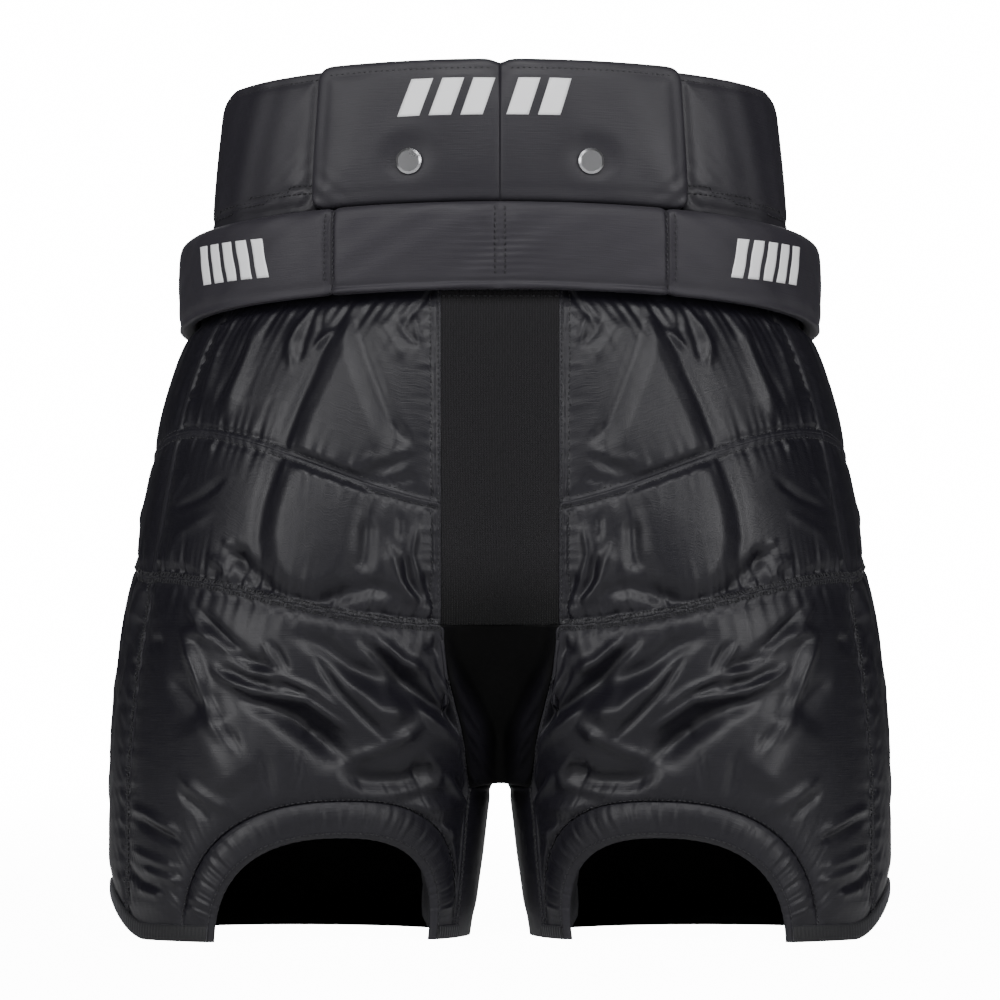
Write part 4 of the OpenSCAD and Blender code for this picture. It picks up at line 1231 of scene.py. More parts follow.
def frontStrip(fromX, toX, margin):
    def place(u, v, depth):
        turn = np.degrees(np.arccos(np.clip(-mix(fromX, toX, u) / (199 + 15), -1, 1)))
        return around(turn, mix(402 + margin, 460 - margin, v), depth)
    return place


closing = {
    # name: node, from x, to x, margin, front, back, finish, body
    "beltLoopPatch": ("belt_loop_patch", -98, -29, 10, -17.2, -16.0, "hook_and_loop", "waist"),
    "beltTab": ("belt_tab", -84, 33.5, 5, -21.8, -19.7, "belt_nylon", "belt_tab"),
    "tabHookPatch": ("tab_hook_patch", -78, -33, 11, -19.2, -18.1, "hook_and_loop", "belt_tab"),
    "beltTabAnchor": ("belt_tab_anchor", 34.5, 64, 5, -21.7, -16.2, "belt_nylon", "waist"),
}
for name, (node, fromX, toX, margin, front, back, finish, body) in closing.items():
    piece, _ = slab(name, frontStrip(fromX, toX, margin), (toX - fromX, 58 - 2 * margin), (36, 20), front,
                    back, roll=1.1, crown=(0.3 if finish == "belt_nylon" else 0.0, 0), corners=4.0)
    standsFor(piece, finish, node, body=body)


# plain printed bars, standing in for lettering
def barGroup(name, place, body, lefts, wide, tall, slant):
    pieces = []
    for k, left in enumerate(lefts):
        u = np.linspace(0, 1, 7)[None, :]
        v = np.linspace(0, 1, 13)[:, None]
        x = left + wide * u + slant * (v - 0.5)
        y = tall * (v - 0.5) * np.ones_like(u)
        piece = gridPiece(f"{name}{k}", place(x, y))
        pieces.append(applied(piece, "SOLIDIFY", thickness=0.00022, offset=1, use_even_offset=False))
    piece = merged(name, pieces)
    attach(piece, body)
    made[name] = piece


def onBelt(middleTurn):
    def place(x, y):
        turn = middleTurn + x / belt["arc"]
        h = 433.5 + y + 0.05 * x
        return around(turn, h, beltFace(turn, h, np.interp(h, [412, 416, 422, 430, 438, 446, 452],
                                                           [-15.0, -15.3, -15.6, -15.8, -15.8, -15.6,
                                                            -15.2])) - 0.12)
    return place


barGroup("beltBarsLeft", onBelt(-33.5), "waist", (-37.5, -21.5, -5.5, 10.5, 26.5), 11.0, 26.0, 7.0)
beltBarsRight = mirrored(made["beltBarsLeft"], "beltBarsRight")
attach(beltBarsRight, "waist")
made["beltBarsRight"] = beltBarsRight


# the back pad
pad = {
    "halfX": 121, "sideAngle": -14, "low": 461, "high": 557,
    "rim": [(1.4, 9.4), (0.0, 7.4), (0.0, -4.6), (0.7, -7.6), (2.6, -9.4), (5.5, -10.1)],
    "crown": 3.0, "studX": 58.5, "studH": 490.07,
}


def padTurn(x):
    reach = angleAt(np.abs(x), 460.0)
    return np.where(x <= 0, -reach, reach - 180)


def padCover():
    rim = np.array(pad["rim"])
    edgeX = np.concatenate([pad["halfX"] - rim[:, 0], np.linspace(pad["halfX"] - 8.5, 0, 38)])[::-1]
    v = np.concatenate([pad["low"] + rim[:, 0], np.linspace(pad["low"] + 8.5, pad["high"] - 8.5, 30),
                        (pad["high"] - rim[:, 0])[::-1]])
    columns, rows = len(edgeX), len(v)
    ringU = columns - 1 - np.arange(columns)
    ringV = np.minimum(np.arange(rows), rows - 1 - np.arange(rows))
    ring = np.minimum(ringU[None, :], ringV[:, None])
    x, h = np.meshgrid(edgeX, v)
    radius = 9.0
    for top in (0, 1):
        du, dv = pad["halfX"] - x, (pad["high"] - h) if top else (h - pad["low"])
        a, b = np.clip(1 - du / radius, 0, None), np.clip(1 - dv / radius, 0, None)
        near = (a > 0) & (b > 0)
        shrink = np.where(near, np.maximum(a, b) / np.maximum(np.hypot(a, b), 1e-9), 1)
        x = np.where(near, pad["halfX"] - radius * (1 - a * shrink), x)
        newV = radius * (1 - b * shrink)
        h = np.where(near, pad["high"] - newV if top else pad["low"] + newV, h)
    depth = np.where(ring < len(rim), rim[np.clip(ring, 0, len(rim) - 1), 1], -10.1)
    edge = np.minimum.reduce([pad["halfX"] - x, h - pad["low"], pad["high"] - h])
    depth = depth - pad["crown"] * (1 - np.exp(-np.clip(edge - 5, 0, None) / 14))
    # the seam down the middle, with a notch at the top
    depth = (depth + (1.0 * np.exp(-(x / 2.2) ** 2) + 1.3 * np.exp(-(x / 9) ** 2) * ease((h - 520) / 30))
             * (ring > 2))
    h = h - (2.6 * np.exp(-(x / 5) ** 2)) * ease((h - 530) / 25)
    # dimples round the studs, pleats near the corners, slight unevenness
    stud = np.hypot(x - pad["studX"], h - pad["studH"])
    depth = mix(depth, -10.1, np.exp(-(stud / 15) ** 4))
    depth = depth - 0.5 * ripple(x * 0.8 + h * 0.4, 121, (37, 53, 71)) * (ring > 4) * (stud > 14)
    corner = np.hypot(x - 116, (h - 466) * 1.2)
    depth = depth + 0.9 * np.sin((x * 0.9 - h) / 2.1) * np.exp(-(corner / 18) ** 2) * (ring > 3)
    edgeWork = np.exp(-((edge - 7.5) / 1.2) ** 2) * 0.8 * (ring >= 3)
    depth = depth + edgeWork
    return around(padTurn(-x), h, depth), edge


coverPoints, coverEdge = padCover()
cover = gridPiece("backPadCoverLeft", coverPoints, marks={"worn": np.exp(-coverEdge / 4)})
applied(cover, "SUBSURF", levels=1, render_levels=1, boundary_smooth="PRESERVE_CORNERS")
applied(cover, "SOLIDIFY", thickness=0.0012, offset=-1, use_even_offset=False)


def wingTop(angle):
    return pad["high"] - 1 - 7 * ease((angle + 22) / 8)


def wingShape(u, v, edge):
    bottomSeam = np.exp(-((v * 95 - mix(17, 9, u)) / 1.3) ** 2) * 1.7
    fromMiddle = 0.5 * ripple(u * 130 + v * 20, 131, (31, 47, 67))
    pleats = (0.8 * np.sin((u * 130 * 0.8 + v * 95) / 1.9)
              * np.exp(-np.hypot((u - 0.02) * 130, (v - 0.08) * 95) / 14))
    return bottomSeam - fromMiddle + pleats + 1.2 * np.exp(-((edge - 6.5) / 1.2) ** 2)


wingPlace = panelPlace(lambda h: np.full(np.shape(h), -float(angleAt(122.0, 460.0))),
                       fixed(pad["sideAngle"]), fixed(pad["low"]), wingTop)
wing, wingGrid = slab("backPadWingLeft", wingPlace, (133, 95), (52, 38), 0.2, 9.0, roll=3.2, crown=(2.6, 0.0),
                      corners=(2.0, 9.0, 2.0, 12.0), shapeIt=wingShape)
for piece, node, name in ((cover, "back_pad_cover", "backPadCover"), (wing, "back_pad_wing", "backPadWing")):
    for side, one in bothSides(piece, name):
        standsFor(one, "pad_nylon", f"{node}_{side}", body="back_pad", fill=0.75)


def acrossBack(halfX, low, high):
    def place(u, v, depth):
        edge = float(angleAt(halfX, 460.0))
        return around(mix(edge - 180, -edge, u), mix(low, high, v), depth)
    return place


padLining, _ = slab("backPadLining", acrossBack(168, 461, 552), (370, 91), (64, 18), 9.7, 11.7, roll=1.4,
                    corners=12.0)
padBase, _ = slab("backPadBase", acrossBack(150, 410.8, 459), (330, 48), (62, 14), 0.3, 11.8, roll=3.0)
padFoam, _ = slab("backPadFoam", acrossBack(118, 463.5, 552), (250, 88), (42, 18), -6.6, 2.6, roll=3.0,
                  corners=8.0, shapeIt=lambda u, v, edge: 3.4 * np.exp(-((u - 0.5) * 250 / 5) ** 2))
for piece, node, finish, body in ((padLining, "back_pad_lining", "lining", "back_pad"),
                                  (padBase, "back_pad_base", "pad_nylon", "waist"),
                                  (padFoam, "back_pad_foam", "foam", "back_pad")):
    standsFor(piece, finish, node, body=body, fill=0.6)


def onCover(x, y):
    # bars lie on the pad's outer face
    h = 530 + y
    return around(padTurn(x), h, coverDepth(x, h) - 0.15)


def coverDepth(x, h):
    ax = np.abs(x)
    depth = (-10.1 - pad["crown"] * (1 - np.exp(-np.clip(np.minimum.reduce([pad["halfX"] - ax, h - pad["low"],
                                                                            pad["high"] - h]) - 5, 0, None)
                                                / 14)))
    depth = depth + 1.0 * np.exp(-(ax / 2.2) ** 2) + 1.3 * np.exp(-(ax / 9) ** 2) * ease((h - 520) / 30)
    return depth - 0.5 * ripple(ax * 0.8 + h * 0.4, 121, (37, 53, 71))


barGroup("padBars", onCover, "back_pad", (-61, -41, -21, 8, 28), 14.0, 25.0, 8.0)
print("stage: back pad")

# lining, from the hems up to the belt: one sheet lines the leg and the waist
liner = {"columns": 92, "rows": 64, "wall": 1.0, "depth": 23.6, "top": 408.0}


def liningGrid():
    v = np.linspace(0, 1, liner["rows"] + 1)[:, None]
    i = np.linspace(0, 1, liner["columns"] + 1)[None, :]
    h = mix(0.0, liner["top"], v) * np.ones_like(i)
    for _ in range(5):
        depth = liner["depth"] + 5.2 * ease((h - 240) / 60) * np.ones_like(i)
        open_ = ease((h - 84) / 26)
        start = mix(-179.0, -angleAt(0.6, np.maximum(h, 100), depth), open_)
        end = mix(179.0, angleAt(0.6, np.maximum(h, 100), depth), open_)
        angle = mix(start, end, i)
        reach = garment["archWidth"] / 2 + 1.5
        share = np.abs(angle - garment["archMiddle"]) * garment["archScale"] / reach
        low = hem(np.clip(angle, -40, 40)) + 2.5
        power = 2 / garment["archBlunt"]
        low = np.maximum(low, np.where(share < 1, (garment["archHeight"] + 1.5)
                                       * np.clip(1 - share ** power, 0, 1) ** (1 / power), 0))
        h = mix(low, liner["top"], v)
    out = np.minimum(archOut(angle, h),
                     np.where(np.abs(angle - garment["archMiddle"]) * garment["archScale"] > 110, 99,
                              archOut(angle, h)))
    fromHem = h - hem(np.clip(angle, -40, 40))
    turnIn = np.minimum(np.where((angle < -55) & (angle > -153), np.maximum(out, 0), 99), fromHem)
    depth = mix(3.2, depth, ease(turnIn / 20) ** 0.8)
    depth = mix(depth, np.where(angle < -38, 14.0, 4.4), ease((h - 386) / 20))
    return angle, h, depth


def liningSamples():
    angle, h, depth = liningGrid()
    points = skin(angle, h, depth)
    normal = outwards(points)
    wave = (0.7 * ripple(angle * 1.9, 141, (17, 29, 43)) * ease((h - 20) / 30) + 0.5
            * ripple(h + angle * 0.6, 142, (31, 47)))
    seams = sum(np.exp(-((angle - a) * 1.9 / 1.4) ** 2) for a in (-25, 25, 95))
    return points - normal * ((wave - 0.9 * seams) * 0.001)[..., None]


liningPiece = gridPiece("liningLeft", liningSamples()[:, ::-1])
applied(liningPiece, "SOLIDIFY", thickness=liner["wall"] * 0.001, offset=1, use_even_offset=False)
for side, one in bothSides(liningPiece, "lining"):
    standsFor(one, liningFinish, f"leg_lining_{side}", f"waist_lining_{side}")

# foam and pads inside, each a rounded slab of its own
seatPadHeights = (229.9, 388.0)


def seatPadPlace(u, v, depth):
    h = mix(seatPadHeights[0], seatPadHeights[1], v)
    middle = mix(112, 97, v)
    half = 42 * np.maximum(1 - v, 0.03) ** 0.45 * np.minimum(1, v * 3 + 0.12) ** 0.5
    x = middle + (2 * u - 1) * half
    return skin(-angleAt(x, h), h, depth)


def flipU(place):
    return lambda u, v, depth: place(1 - u, v, depth)


def thinTop(place):
    # the top edge of the thigh foam is skived so that it stays behind the lining when the hips bend
    return lambda u, v, depth: place(u, v, depth - 6 * ease((v - 0.7) / 0.3) * ease((depth - 8) / 6))


thighPlace = panelPlace(fixed(-22), lambda h: np.minimum(134, frontEdge(h) - 6), fixed(38), fixed(247.1))
foams = {
    # name: node, place, size, counts, front, back, body
    "thighFoam": ("thigh_foam", thinTop(thighPlace), (330, 205), (34, 22), 7.0, 20.8, "legs"),
    "seatPad": ("seat_pad", flipU(seatPadPlace), (84, 158), (22, 30), 3.5, 17.3, "waist"),
    "hipFoam": ("hip_foam", panelPlace(fixed(-32), fixed(20), fixed(337), fixed(380)), (112, 43), (22, 14),
                7.0, 20.8, "waist"),
}
for name, (node, place, size, counts, front, back, body) in foams.items():
    piece, _ = slab(name + "Left", place, size, counts, front, back, roll=3.5,
                    corners=12.0 if name != "seatPad" else 0.0)
    for side, one in bothSides(piece, name):
        standsFor(one, "foam", f"{node}_{side}", body=body, fill=0.8)


def tailPlace(u, v, depth):
    h = mix(269.1, 386, v)
    edge = skin(-angleAt(34.0, h), h)
    across = 1 - 2 * u
    x = across * 34 * mix(0.6, 1, ease(v * 2)) * 0.001
    return np.stack([x, edge[..., 1] + depth * 0.001, edge[..., 2]], axis=-1)


tailFoam, _ = slab("tailboneFoam", tailPlace, (68, 117), (18, 26), 21.6, 26.4, roll=2.0, corners=8.0)
standsFor(tailFoam, "foam", "tailbone_foam", body="waist", fill=0.8)
print("stage: lining and foam")

# front: fly, waistband, hem elastic


def flyPlace(u, v, depth):
    h = mix(garment["foldHigh"] + 0.6, garment["shellTop"], v)
    half = 27.4
    edge = skin(angleAt(half, h), h)
    across = 2 * u - 1
    fold = 1.1 * (1 - across ** 2) - 0.9 * np.exp(-((across - 0.28) / 0.07) ** 2) + 0.5 * (across > 0.28)
    return np.stack([across * half * 0.001, edge[..., 1] + (fold - depth) * 0.001, edge[..., 2]], axis=-1)


fly, _ = slab("flyPlacket", flyPlace, (54.8, 98), (28, 34), 0.0, 2.3, roll=1.0,
              shapeIt=lambda u, v, edge: -0.35 * ripple(v * 98 + u * 20, 151, (13, 19, 27)) * ease(edge / 8))
standsFor(fly, shellFinish, "fly_placket")


def bandTop(angle):
    return mix(garment["beltHigh"] - 1, garment["frontTop"], ease((angle - 8) / 14))


band, _ = slab("frontWaistbandLeft", panelPlace(fixed(-40), fixed(89.75), fixed(410.6), bandTop), (420, 70),
               (72, 18), 0.0, 2.3, roll=1.2, corners=(0, 0, 0, 9.0),
               shapeIt=lambda u, v, edge: 0.9 * np.exp(-((v - 0.72) * 70 / 1.3) ** 2) * (v > 0.5) * 0.5)
for side, one in bothSides(band, "frontWaistband"):
    standsFor(one, shellFinish, f"front_waistband_{side}", body="waist")


def hemBand(name, fromA, toA, tall, columns):
    i = np.linspace(0, 1, columns + 1)[None, :]
    rows = np.array([(0.0, -0.3), (-0.6, -1.2), (0.4, -2.1), (2.2, -2.3), (4.4, -2.35), (6.6, -2.3),
                     (8.8, -2.2), (10.4, -1.9), (11.2, -1.1), (11.2, -0.3), (6, -0.1)])
    angle = mix(fromA, toA, i) * np.ones((len(rows), 1))
    lifted = np.where(np.abs(angle) < 40, hem(angle), 0)
    h = np.maximum(rows[:, :1] * tall / 11.2 + lifted, 0.0)
    depth = rows[:, 1:] - 0.28 * np.sin(2 * math.pi * angle * shell["arc"] / 3.1) * (rows[:, 1:] < -1.1)
    piece = ringPiece(name, skin(angle, h, depth))
    return applied(piece, "SUBSURF", levels=1, render_levels=1)


outerHem = hemBand("hemOuter", -64.0, 152.0, 11.2, 390)
innerHem = hemBand("hemInner", -156.5, -144.4, 9.0, 26)
hemPiece = merged("hemBindingLeft", [outerHem, innerHem])
for side, one in bothSides(hemPiece, "hemBinding"):
    standsFor(one, "binding_tape", f"front_hem_binding_{side}", body="legs")
print("stage: front and hems")

# stitches
shellThreads, padThreads, beltThreads = [], [], []
half = shell["seamHalf"]
for name, side, insets in (("upperSeat", "low", (half,)), ("midSeat", "high", (half,)),
                           ("midSeat", "low", (half, 1.0)), ("midHip", "high", (half,)),
                           ("upperHip", "low", (half,)), ("midHip", "low", (half,)),
                           ("frontThigh", "high", (half,)), ("sideThigh", "high", (half,)),
                           ("upperSeat", "from", (1.6, 7.6)), ("midSeat", "from", (1.6, 7.6)),
                           ("sideThigh", "from", (half,)), ("sideThigh", "to", (half,)),
                           ("frontThigh", "from", (half,)), ("frontThigh", "to", (half,)),
                           ("innerLeg", "from", (1.5,)), ("innerLeg", "to", (1.5,)),
                           ("upperHip", "to", (1.8, 6.0))):
    for inset in insets:
        sideThreads(panels[name], side, inset, shellThreads)
for name, side in (("midSeat", "low"), ("midHip", "low"), ("sideThigh", "high"), ("sideThigh", "from")):
    sideThreads(panels[name], side, 2.4, shellThreads, ladder=True)
rear = panels["rearThigh"]
rows, columns = rear["points"].shape[:2]
rearLengths = np.zeros(rear["points"].shape[:2])
rearLengths[1:] = np.cumsum(np.linalg.norm(np.diff(rear["points"], axis=0), axis=2), axis=0) * 1000
for first, last, inset in ((2, 50, half), (50, 136, half), (50, 136, 1.0), (136, 194, half), (50, 136, 2.4),
                           (136, 194, 2.4)):
    spots = np.arange(first, last + 1)
    level = np.array([np.interp(rearLengths[-1, c] - inset, rearLengths[:, c], np.arange(rows))
                      for c in spots])
    line, normal = gridSample(rear, level, spots.astype(float))
    threadRun(line, normal, shellThreads, ladder=inset == 2.4)
spots = np.arange(3, columns - 3)
level = np.array([np.interp(1.8, rearLengths[:, c], np.arange(rows)) for c in spots])
line, normal = gridSample(rear, level, spots.astype(float))
threadRun(line, normal, shellThreads)
nearThreads(panels["archFacing"], 3.2, shellThreads, 4, columns - 5)
shellStitch = threadPiece("shellStitchingLeft", shellThreads)

knitLine = knitPoints(44, 86, -0.3)
knitNormal = outwards(knitLine)
for row in (84, 82):
    threadRun(knitLine[row], knitNormal[row], beltThreads)
beltSkin = [(404.9, -14.0), (409.6, -14.5), (416, -15.3), (430, -15.8), (446, -15.6), (456, -14.5)]
for turn in (-90.85, -89.15):
    h = np.linspace(411, 457, 30)
    depth = beltFace(turn, h, np.interp(h, *zip(*beltSkin))) - 0.3
    line = around(turn * np.ones(30), h, depth)
    threadRun(line, np.tile([0, -1.0, 0], (30, 1)), beltThreads)
for turn in (beltJoint - 0.9, beltJoint + 0.9, -180 - beltJoint - 0.9, -180 - beltJoint + 0.9):
    h = np.linspace(411, 457, 30)
    line = around(turn * np.ones(30), h, beltFace(turn, h, np.interp(h, *zip(*beltSkin))) - 0.1)
    out = line[15] * [1, 1, 0]
    threadRun(line, np.tile(out / np.linalg.norm(out), (30, 1)), beltThreads)
for fromX, toX in ((-80, 30), (38, 60)):
    for margin in (8.0, 50.0):
        u = np.linspace(0, 1, 40)
        line = frontStrip(fromX, toX, 0)(u, np.full(40, margin / 58), np.full(40, -22.2))
        if fromX > 0:
            threadRun(line, np.tile([0, 1.0, 0], (40, 1)), beltThreads)

# along the top and the outer edge of each wing, and along its bottom seam
wingInset = 6.5
grid, wu, wv = wingGrid
normals = outwards(grid)
row = int(np.argmin(np.abs(wv[:, 20] - (95 - wingInset))))
threadRun(grid[row, 3:-4], normals[row, 3:-4], padThreads)
column = int(np.argmin(np.abs(wu[20] - (133 - wingInset))))
threadRun(grid[3:row, column], normals[3:row, column], padThreads)
for shift in (-1.9, 1.9):
    line = [grid[int(np.argmin(np.abs(wv[:, c] - (mix(17, 9, wu[10, c] / 133) + shift)))), c]
            for c in range(3, grid.shape[1] - 4)]
    normal = [normals[10, c] for c in range(3, grid.shape[1] - 4)]
    threadRun(np.array(line), np.array(normal), padThreads)
x = np.linspace(6, 112, 60)
line = around(padTurn(-x), 549.5 * np.ones(60), coverDepth(x, 549.5 * np.ones(60)) + 0.6)
threadRun(line, outwards(np.stack([around(padTurn(-x), (549.5 + k) * np.ones(60), -11.0)
                                   for k in (-1, 0, 1)]))[1], padThreads)
padStitch = threadPiece("padStitchingLeft", padThreads)
beltStitch = threadPiece("beltStitching", beltThreads)
for _, one in bothSides(shellStitch, "shellStitching"):
    made[one.name] = one
for _, one in bothSides(padStitch, "padStitching"):
    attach(one, "back_pad")
    made[one.name] = one
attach(beltStitch, "waist")
made["beltStitching"] = beltStitch
print("stage: stitching", len(shellStitch.data.polygons), len(padStitch.data.polygons),
      len(beltStitch.data.polygons))


# materials
def groupOf(name, outputs, **numbers):  # every group reads a Vector and its own named numbers
    tree = bpy.data.node_groups.new(name, "ShaderNodeTree")
    tree.interface.new_socket(name="Vector", in_out="INPUT", socket_type="NodeSocketVector")
    for label, value in numbers.items():
        socket = tree.interface.new_socket(name=label, in_out="INPUT", socket_type="NodeSocketFloat")
        socket.default_value = value
    for label in outputs:
        tree.interface.new_socket(name=label, in_out="OUTPUT", socket_type="NodeSocketFloat")
    return tree, tree.nodes.new("NodeGroupInput"), tree.nodes.new("NodeGroupOutput")


def feed(tree, socket, value):  # a number is set on the socket, anything else is linked to it
    if isinstance(value, (int, float)):
        socket.default_value = value
    else:
        tree.links.new(value, socket)


def mathOf(tree, operation, a, b=None, clamp=False):
    node = tree.nodes.new("ShaderNodeMath")
    node.operation = operation
    node.use_clamp = clamp
    feed(tree, node.inputs[0], a)
    if b is not None:
        feed(tree, node.inputs[1], b)
    return node.outputs[0]


def times(tree, a, b, clamp=False):
    return mathOf(tree, "MULTIPLY", a, b, clamp)


def plus(tree, a, b, clamp=False):
    return mathOf(tree, "ADD", a, b, clamp)


def noiseOf(tree, vector, scale, detail=3.0, roughness=0.55):
    node = tree.nodes.new("ShaderNodeTexNoise")
    for label, value in (("Scale", scale), ("Detail", detail), ("Roughness", roughness)):
        feed(tree, node.inputs[label], value)
    tree.links.new(vector, node.inputs["Vector"])
    return node.outputs["Fac"]


def wovenGroup():  # plain weave: threads over and under in turn
    tree, given, out = groupOf("wovenThreads", ("Height", "Slub"), Threads=1800.0)
    split = tree.nodes.new("ShaderNodeSeparateXYZ")
    tree.links.new(given.outputs["Vector"], split.inputs[0])
    u = times(tree, split.outputs[0], given.outputs["Threads"])
    v = times(tree, split.outputs[1], given.outputs["Threads"])
    waveU = mathOf(tree, "ABSOLUTE", mathOf(tree, "SINE", times(tree, u, math.pi)))
    waveV = mathOf(tree, "ABSOLUTE", mathOf(tree, "SINE", times(tree, v, math.pi)))
    check = mathOf(tree, "MODULO", plus(tree, mathOf(tree, "FLOOR", u), mathOf(tree, "FLOOR", v)), 2.0)
    over = mathOf(tree, "GREATER_THAN", mathOf(tree, "ABSOLUTE", check), 0.5)
    height = plus(tree, times(tree, waveU, over), times(tree, waveV, mathOf(tree, "SUBTRACT", 1.0, over)))
    stretched = tree.nodes.new("ShaderNodeMapping")
    stretched.inputs["Scale"].default_value = (60, 900, 60)
    tree.links.new(given.outputs["Vector"], stretched.inputs["Vector"])
    slub = noiseOf(tree, stretched.outputs[0], 1.0, 2.0)
    tree.links.new(height, out.inputs["Height"])
    tree.links.new(slub, out.inputs["Slub"])
    return tree


def creaseGroup():  # fine creases and handling marks of thin cloth
    tree, given, out = groupOf("fineCreases", ("Height",), Scale=26.0)
    warp = tree.nodes.new("ShaderNodeTexNoise")
    warp.inputs["Scale"].default_value = 9.0
    tree.links.new(given.outputs["Vector"], warp.inputs["Vector"])
    moved = tree.nodes.new("ShaderNodeVectorMath")
    moved.operation = "MULTIPLY_ADD"
    tree.links.new(warp.outputs["Color"], moved.inputs[0])
    moved.inputs[1].default_value = (0.05, 0.05, 0.05)
    tree.links.new(given.outputs["Vector"], moved.inputs[2])
    broad = noiseOf(tree, moved.outputs[0], given.outputs["Scale"], 2.0, 0.45)
    tree.links.new(broad, out.inputs["Height"])
    return tree


# on the gusset the same mask paints the lobes of leg cloth lighter than its painted shade
def makeWearLitGroup():  # dust and rubbing: patchy, and stronger along seams and edges
    tree, given, out = groupOf("dustAndWear", ("Mask", "Tone"), Worn=0.0, Amount=0.5)
    patch = noiseOf(tree, given.outputs["Vector"], 14.0, 4.0, 0.6)
    speck = noiseOf(tree, given.outputs["Vector"], 420.0, 3.0, 0.7)
    rubbed = times(tree, given.outputs["Worn"], times(tree, patch, 1.6))
    lint = mathOf(tree, "GREATER_THAN", speck, 0.74)
    total = plus(tree, times(tree, rubbed, 0.8), times(tree, lint, 0.12))
    tree.links.new(times(tree, total, given.outputs["Amount"], clamp=True), out.inputs["Mask"])
    tree.links.new(patch, out.inputs["Tone"])
    return tree


def ribGroup():  # ribs of a knit, with its stitches across
    tree, given, out = groupOf("knitRibs", ("Height",), Ribs=620.0)
    split = tree.nodes.new("ShaderNodeSeparateXYZ")
    tree.links.new(given.outputs["Vector"], split.inputs[0])
    u = times(tree, split.outputs[0], given.outputs["Ribs"])
    v = times(tree, split.outputs[1], times(tree, given.outputs["Ribs"], 1.25))
    rib = mathOf(tree, "ABSOLUTE", mathOf(tree, "SINE", times(tree, u, math.pi)))
    lean = plus(tree, v, times(tree, rib, 0.6))
    loop = mathOf(tree, "ABSOLUTE", mathOf(tree, "SINE", times(tree, lean, math.pi)))
    tree.links.new(plus(tree, times(tree, rib, 0.7), times(tree, loop, 0.45)), out.inputs["Height"])
    return tree


woven, creases, wearLitTree, ribs = wovenGroup(), creaseGroup(), makeWearLitGroup(), ribGroup()


def placed(tree, group, vector, **values):
    node = tree.nodes.new("ShaderNodeGroup")
    node.node_tree = group
    tree.links.new(vector, node.inputs["Vector"])
    for label, value in values.items():
        feed(tree, node.inputs[label], value)
    return node.outputs


def mixed(tree, factor, a, b):
    node = tree.nodes.new("ShaderNodeMix")
    node.data_type = "RGBA"
    tree.links.new(factor, node.inputs["Factor"])
    node.inputs["A"].default_value = (*a, 1)
    node.inputs["B"].default_value = (*b, 1)
    return node.outputs["Result"]


def newMaterial(name):  # its tree, its shader and the object's own coordinates come with it
    material = bpy.data.materials.new(name)
    material.use_nodes = True
    tree = material.node_tree
    place = tree.nodes.new("ShaderNodeTexCoord").outputs["Object"]
    return material, tree, tree.nodes["Principled BSDF"], place


def clothChart(tree):  # the cloth's own UV map, in metres
    uv = tree.nodes.new("ShaderNodeUVMap")
    uv.uv_map = "cloth"
    return uv.outputs[0]


def bumpOf(tree, shader, height, distance):  # a bump on top of those that the shader has already
    bump = tree.nodes.new("ShaderNodeBump")
    bump.inputs["Distance"].default_value = distance
    bump.inputs["Strength"].default_value = 1.0
    tree.links.new(height, bump.inputs["Height"])
    normal = shader.inputs["Normal"]
    if normal.is_linked:
        tree.links.new(normal.links[0].from_socket, bump.inputs["Normal"])
    tree.links.new(bump.outputs[0], normal)


def smoothSpan(tree, value, low, high):  # 0 below low, 1 above high
    span = tree.nodes.new("ShaderNodeMapRange")
    span.interpolation_type = "SMOOTHSTEP"
    tree.links.new(value, span.inputs["Value"])
    span.inputs["From Min"].default_value, span.inputs["From Max"].default_value = low, high
    return span.outputs[0]


finishes = {
    # base, worn colour, roughness low and high, weave per metre, weave bump, crease bump, sheen, specular
    "shellNylon": dict(base=(0.0056, 0.0050, 0.0088), worn=(0.022, 0.021, 0.027), rough=(0.39, 0.48),
                       threads=900, weave=0.00014, crease=0.0012, sheen=0.02, gloss=0.44),
    # painted shade: the gusset's near-black base stands in for the shadow deep in the crotch cleft; its second
    # colour paints the marked lobes of leg cloth lighter
    "gussetCloth": dict(base=(0.0003, 0.0003, 0.0004), worn=(0.009, 0.008, 0.013), rough=(0.50, 0.6),
                        threads=900, weave=0.00009, crease=0.0009, sheen=0.0, gloss=0.10),
    "beltNylon": dict(base=(0.0225, 0.0203, 0.0270), worn=(0.045, 0.043, 0.05), rough=(0.48, 0.58),
                      threads=800, weave=0.00012, crease=0.0004, sheen=0.05, gloss=0.4),
    "padNylon": dict(base=(0.0170, 0.0155, 0.0210), worn=(0.045, 0.043, 0.05), rough=(0.44, 0.54),
                     threads=850, weave=0.00011, crease=0.0007, sheen=0.03, gloss=0.45),
    "liningMesh": dict(base=(0.007, 0.007, 0.0075), worn=(0.02, 0.02, 0.021), rough=(0.75, 0.85), threads=500,
                       weave=0.0002, crease=0.0004, sheen=0.1, gloss=0.25),
    "hookAndLoop": dict(base=(0.010, 0.010, 0.0105), worn=(0.02, 0.02, 0.02), rough=(0.9, 0.95), threads=700,
                        weave=0.0006, crease=0.0002, sheen=0.4, gloss=0.15),
    "bindingTape": dict(base=(0.013, 0.013, 0.0145), worn=(0.04, 0.04, 0.043), rough=(0.55, 0.65),
                        threads=1100, weave=0.00012, crease=0.0001, sheen=0.2, gloss=0.35),
    "foamWhite": dict(base=(0.62, 0.61, 0.56), worn=(0.5, 0.48, 0.42), rough=(0.85, 0.95), threads=0, weave=0,
                      crease=0.0006, sheen=0.0, gloss=0.2),
    "threadBlack": dict(base=(0.011, 0.011, 0.013), worn=(0.03, 0.03, 0.033), rough=(0.42, 0.5), threads=0,
                        weave=0, crease=0.0, sheen=0.15, gloss=0.45),
}


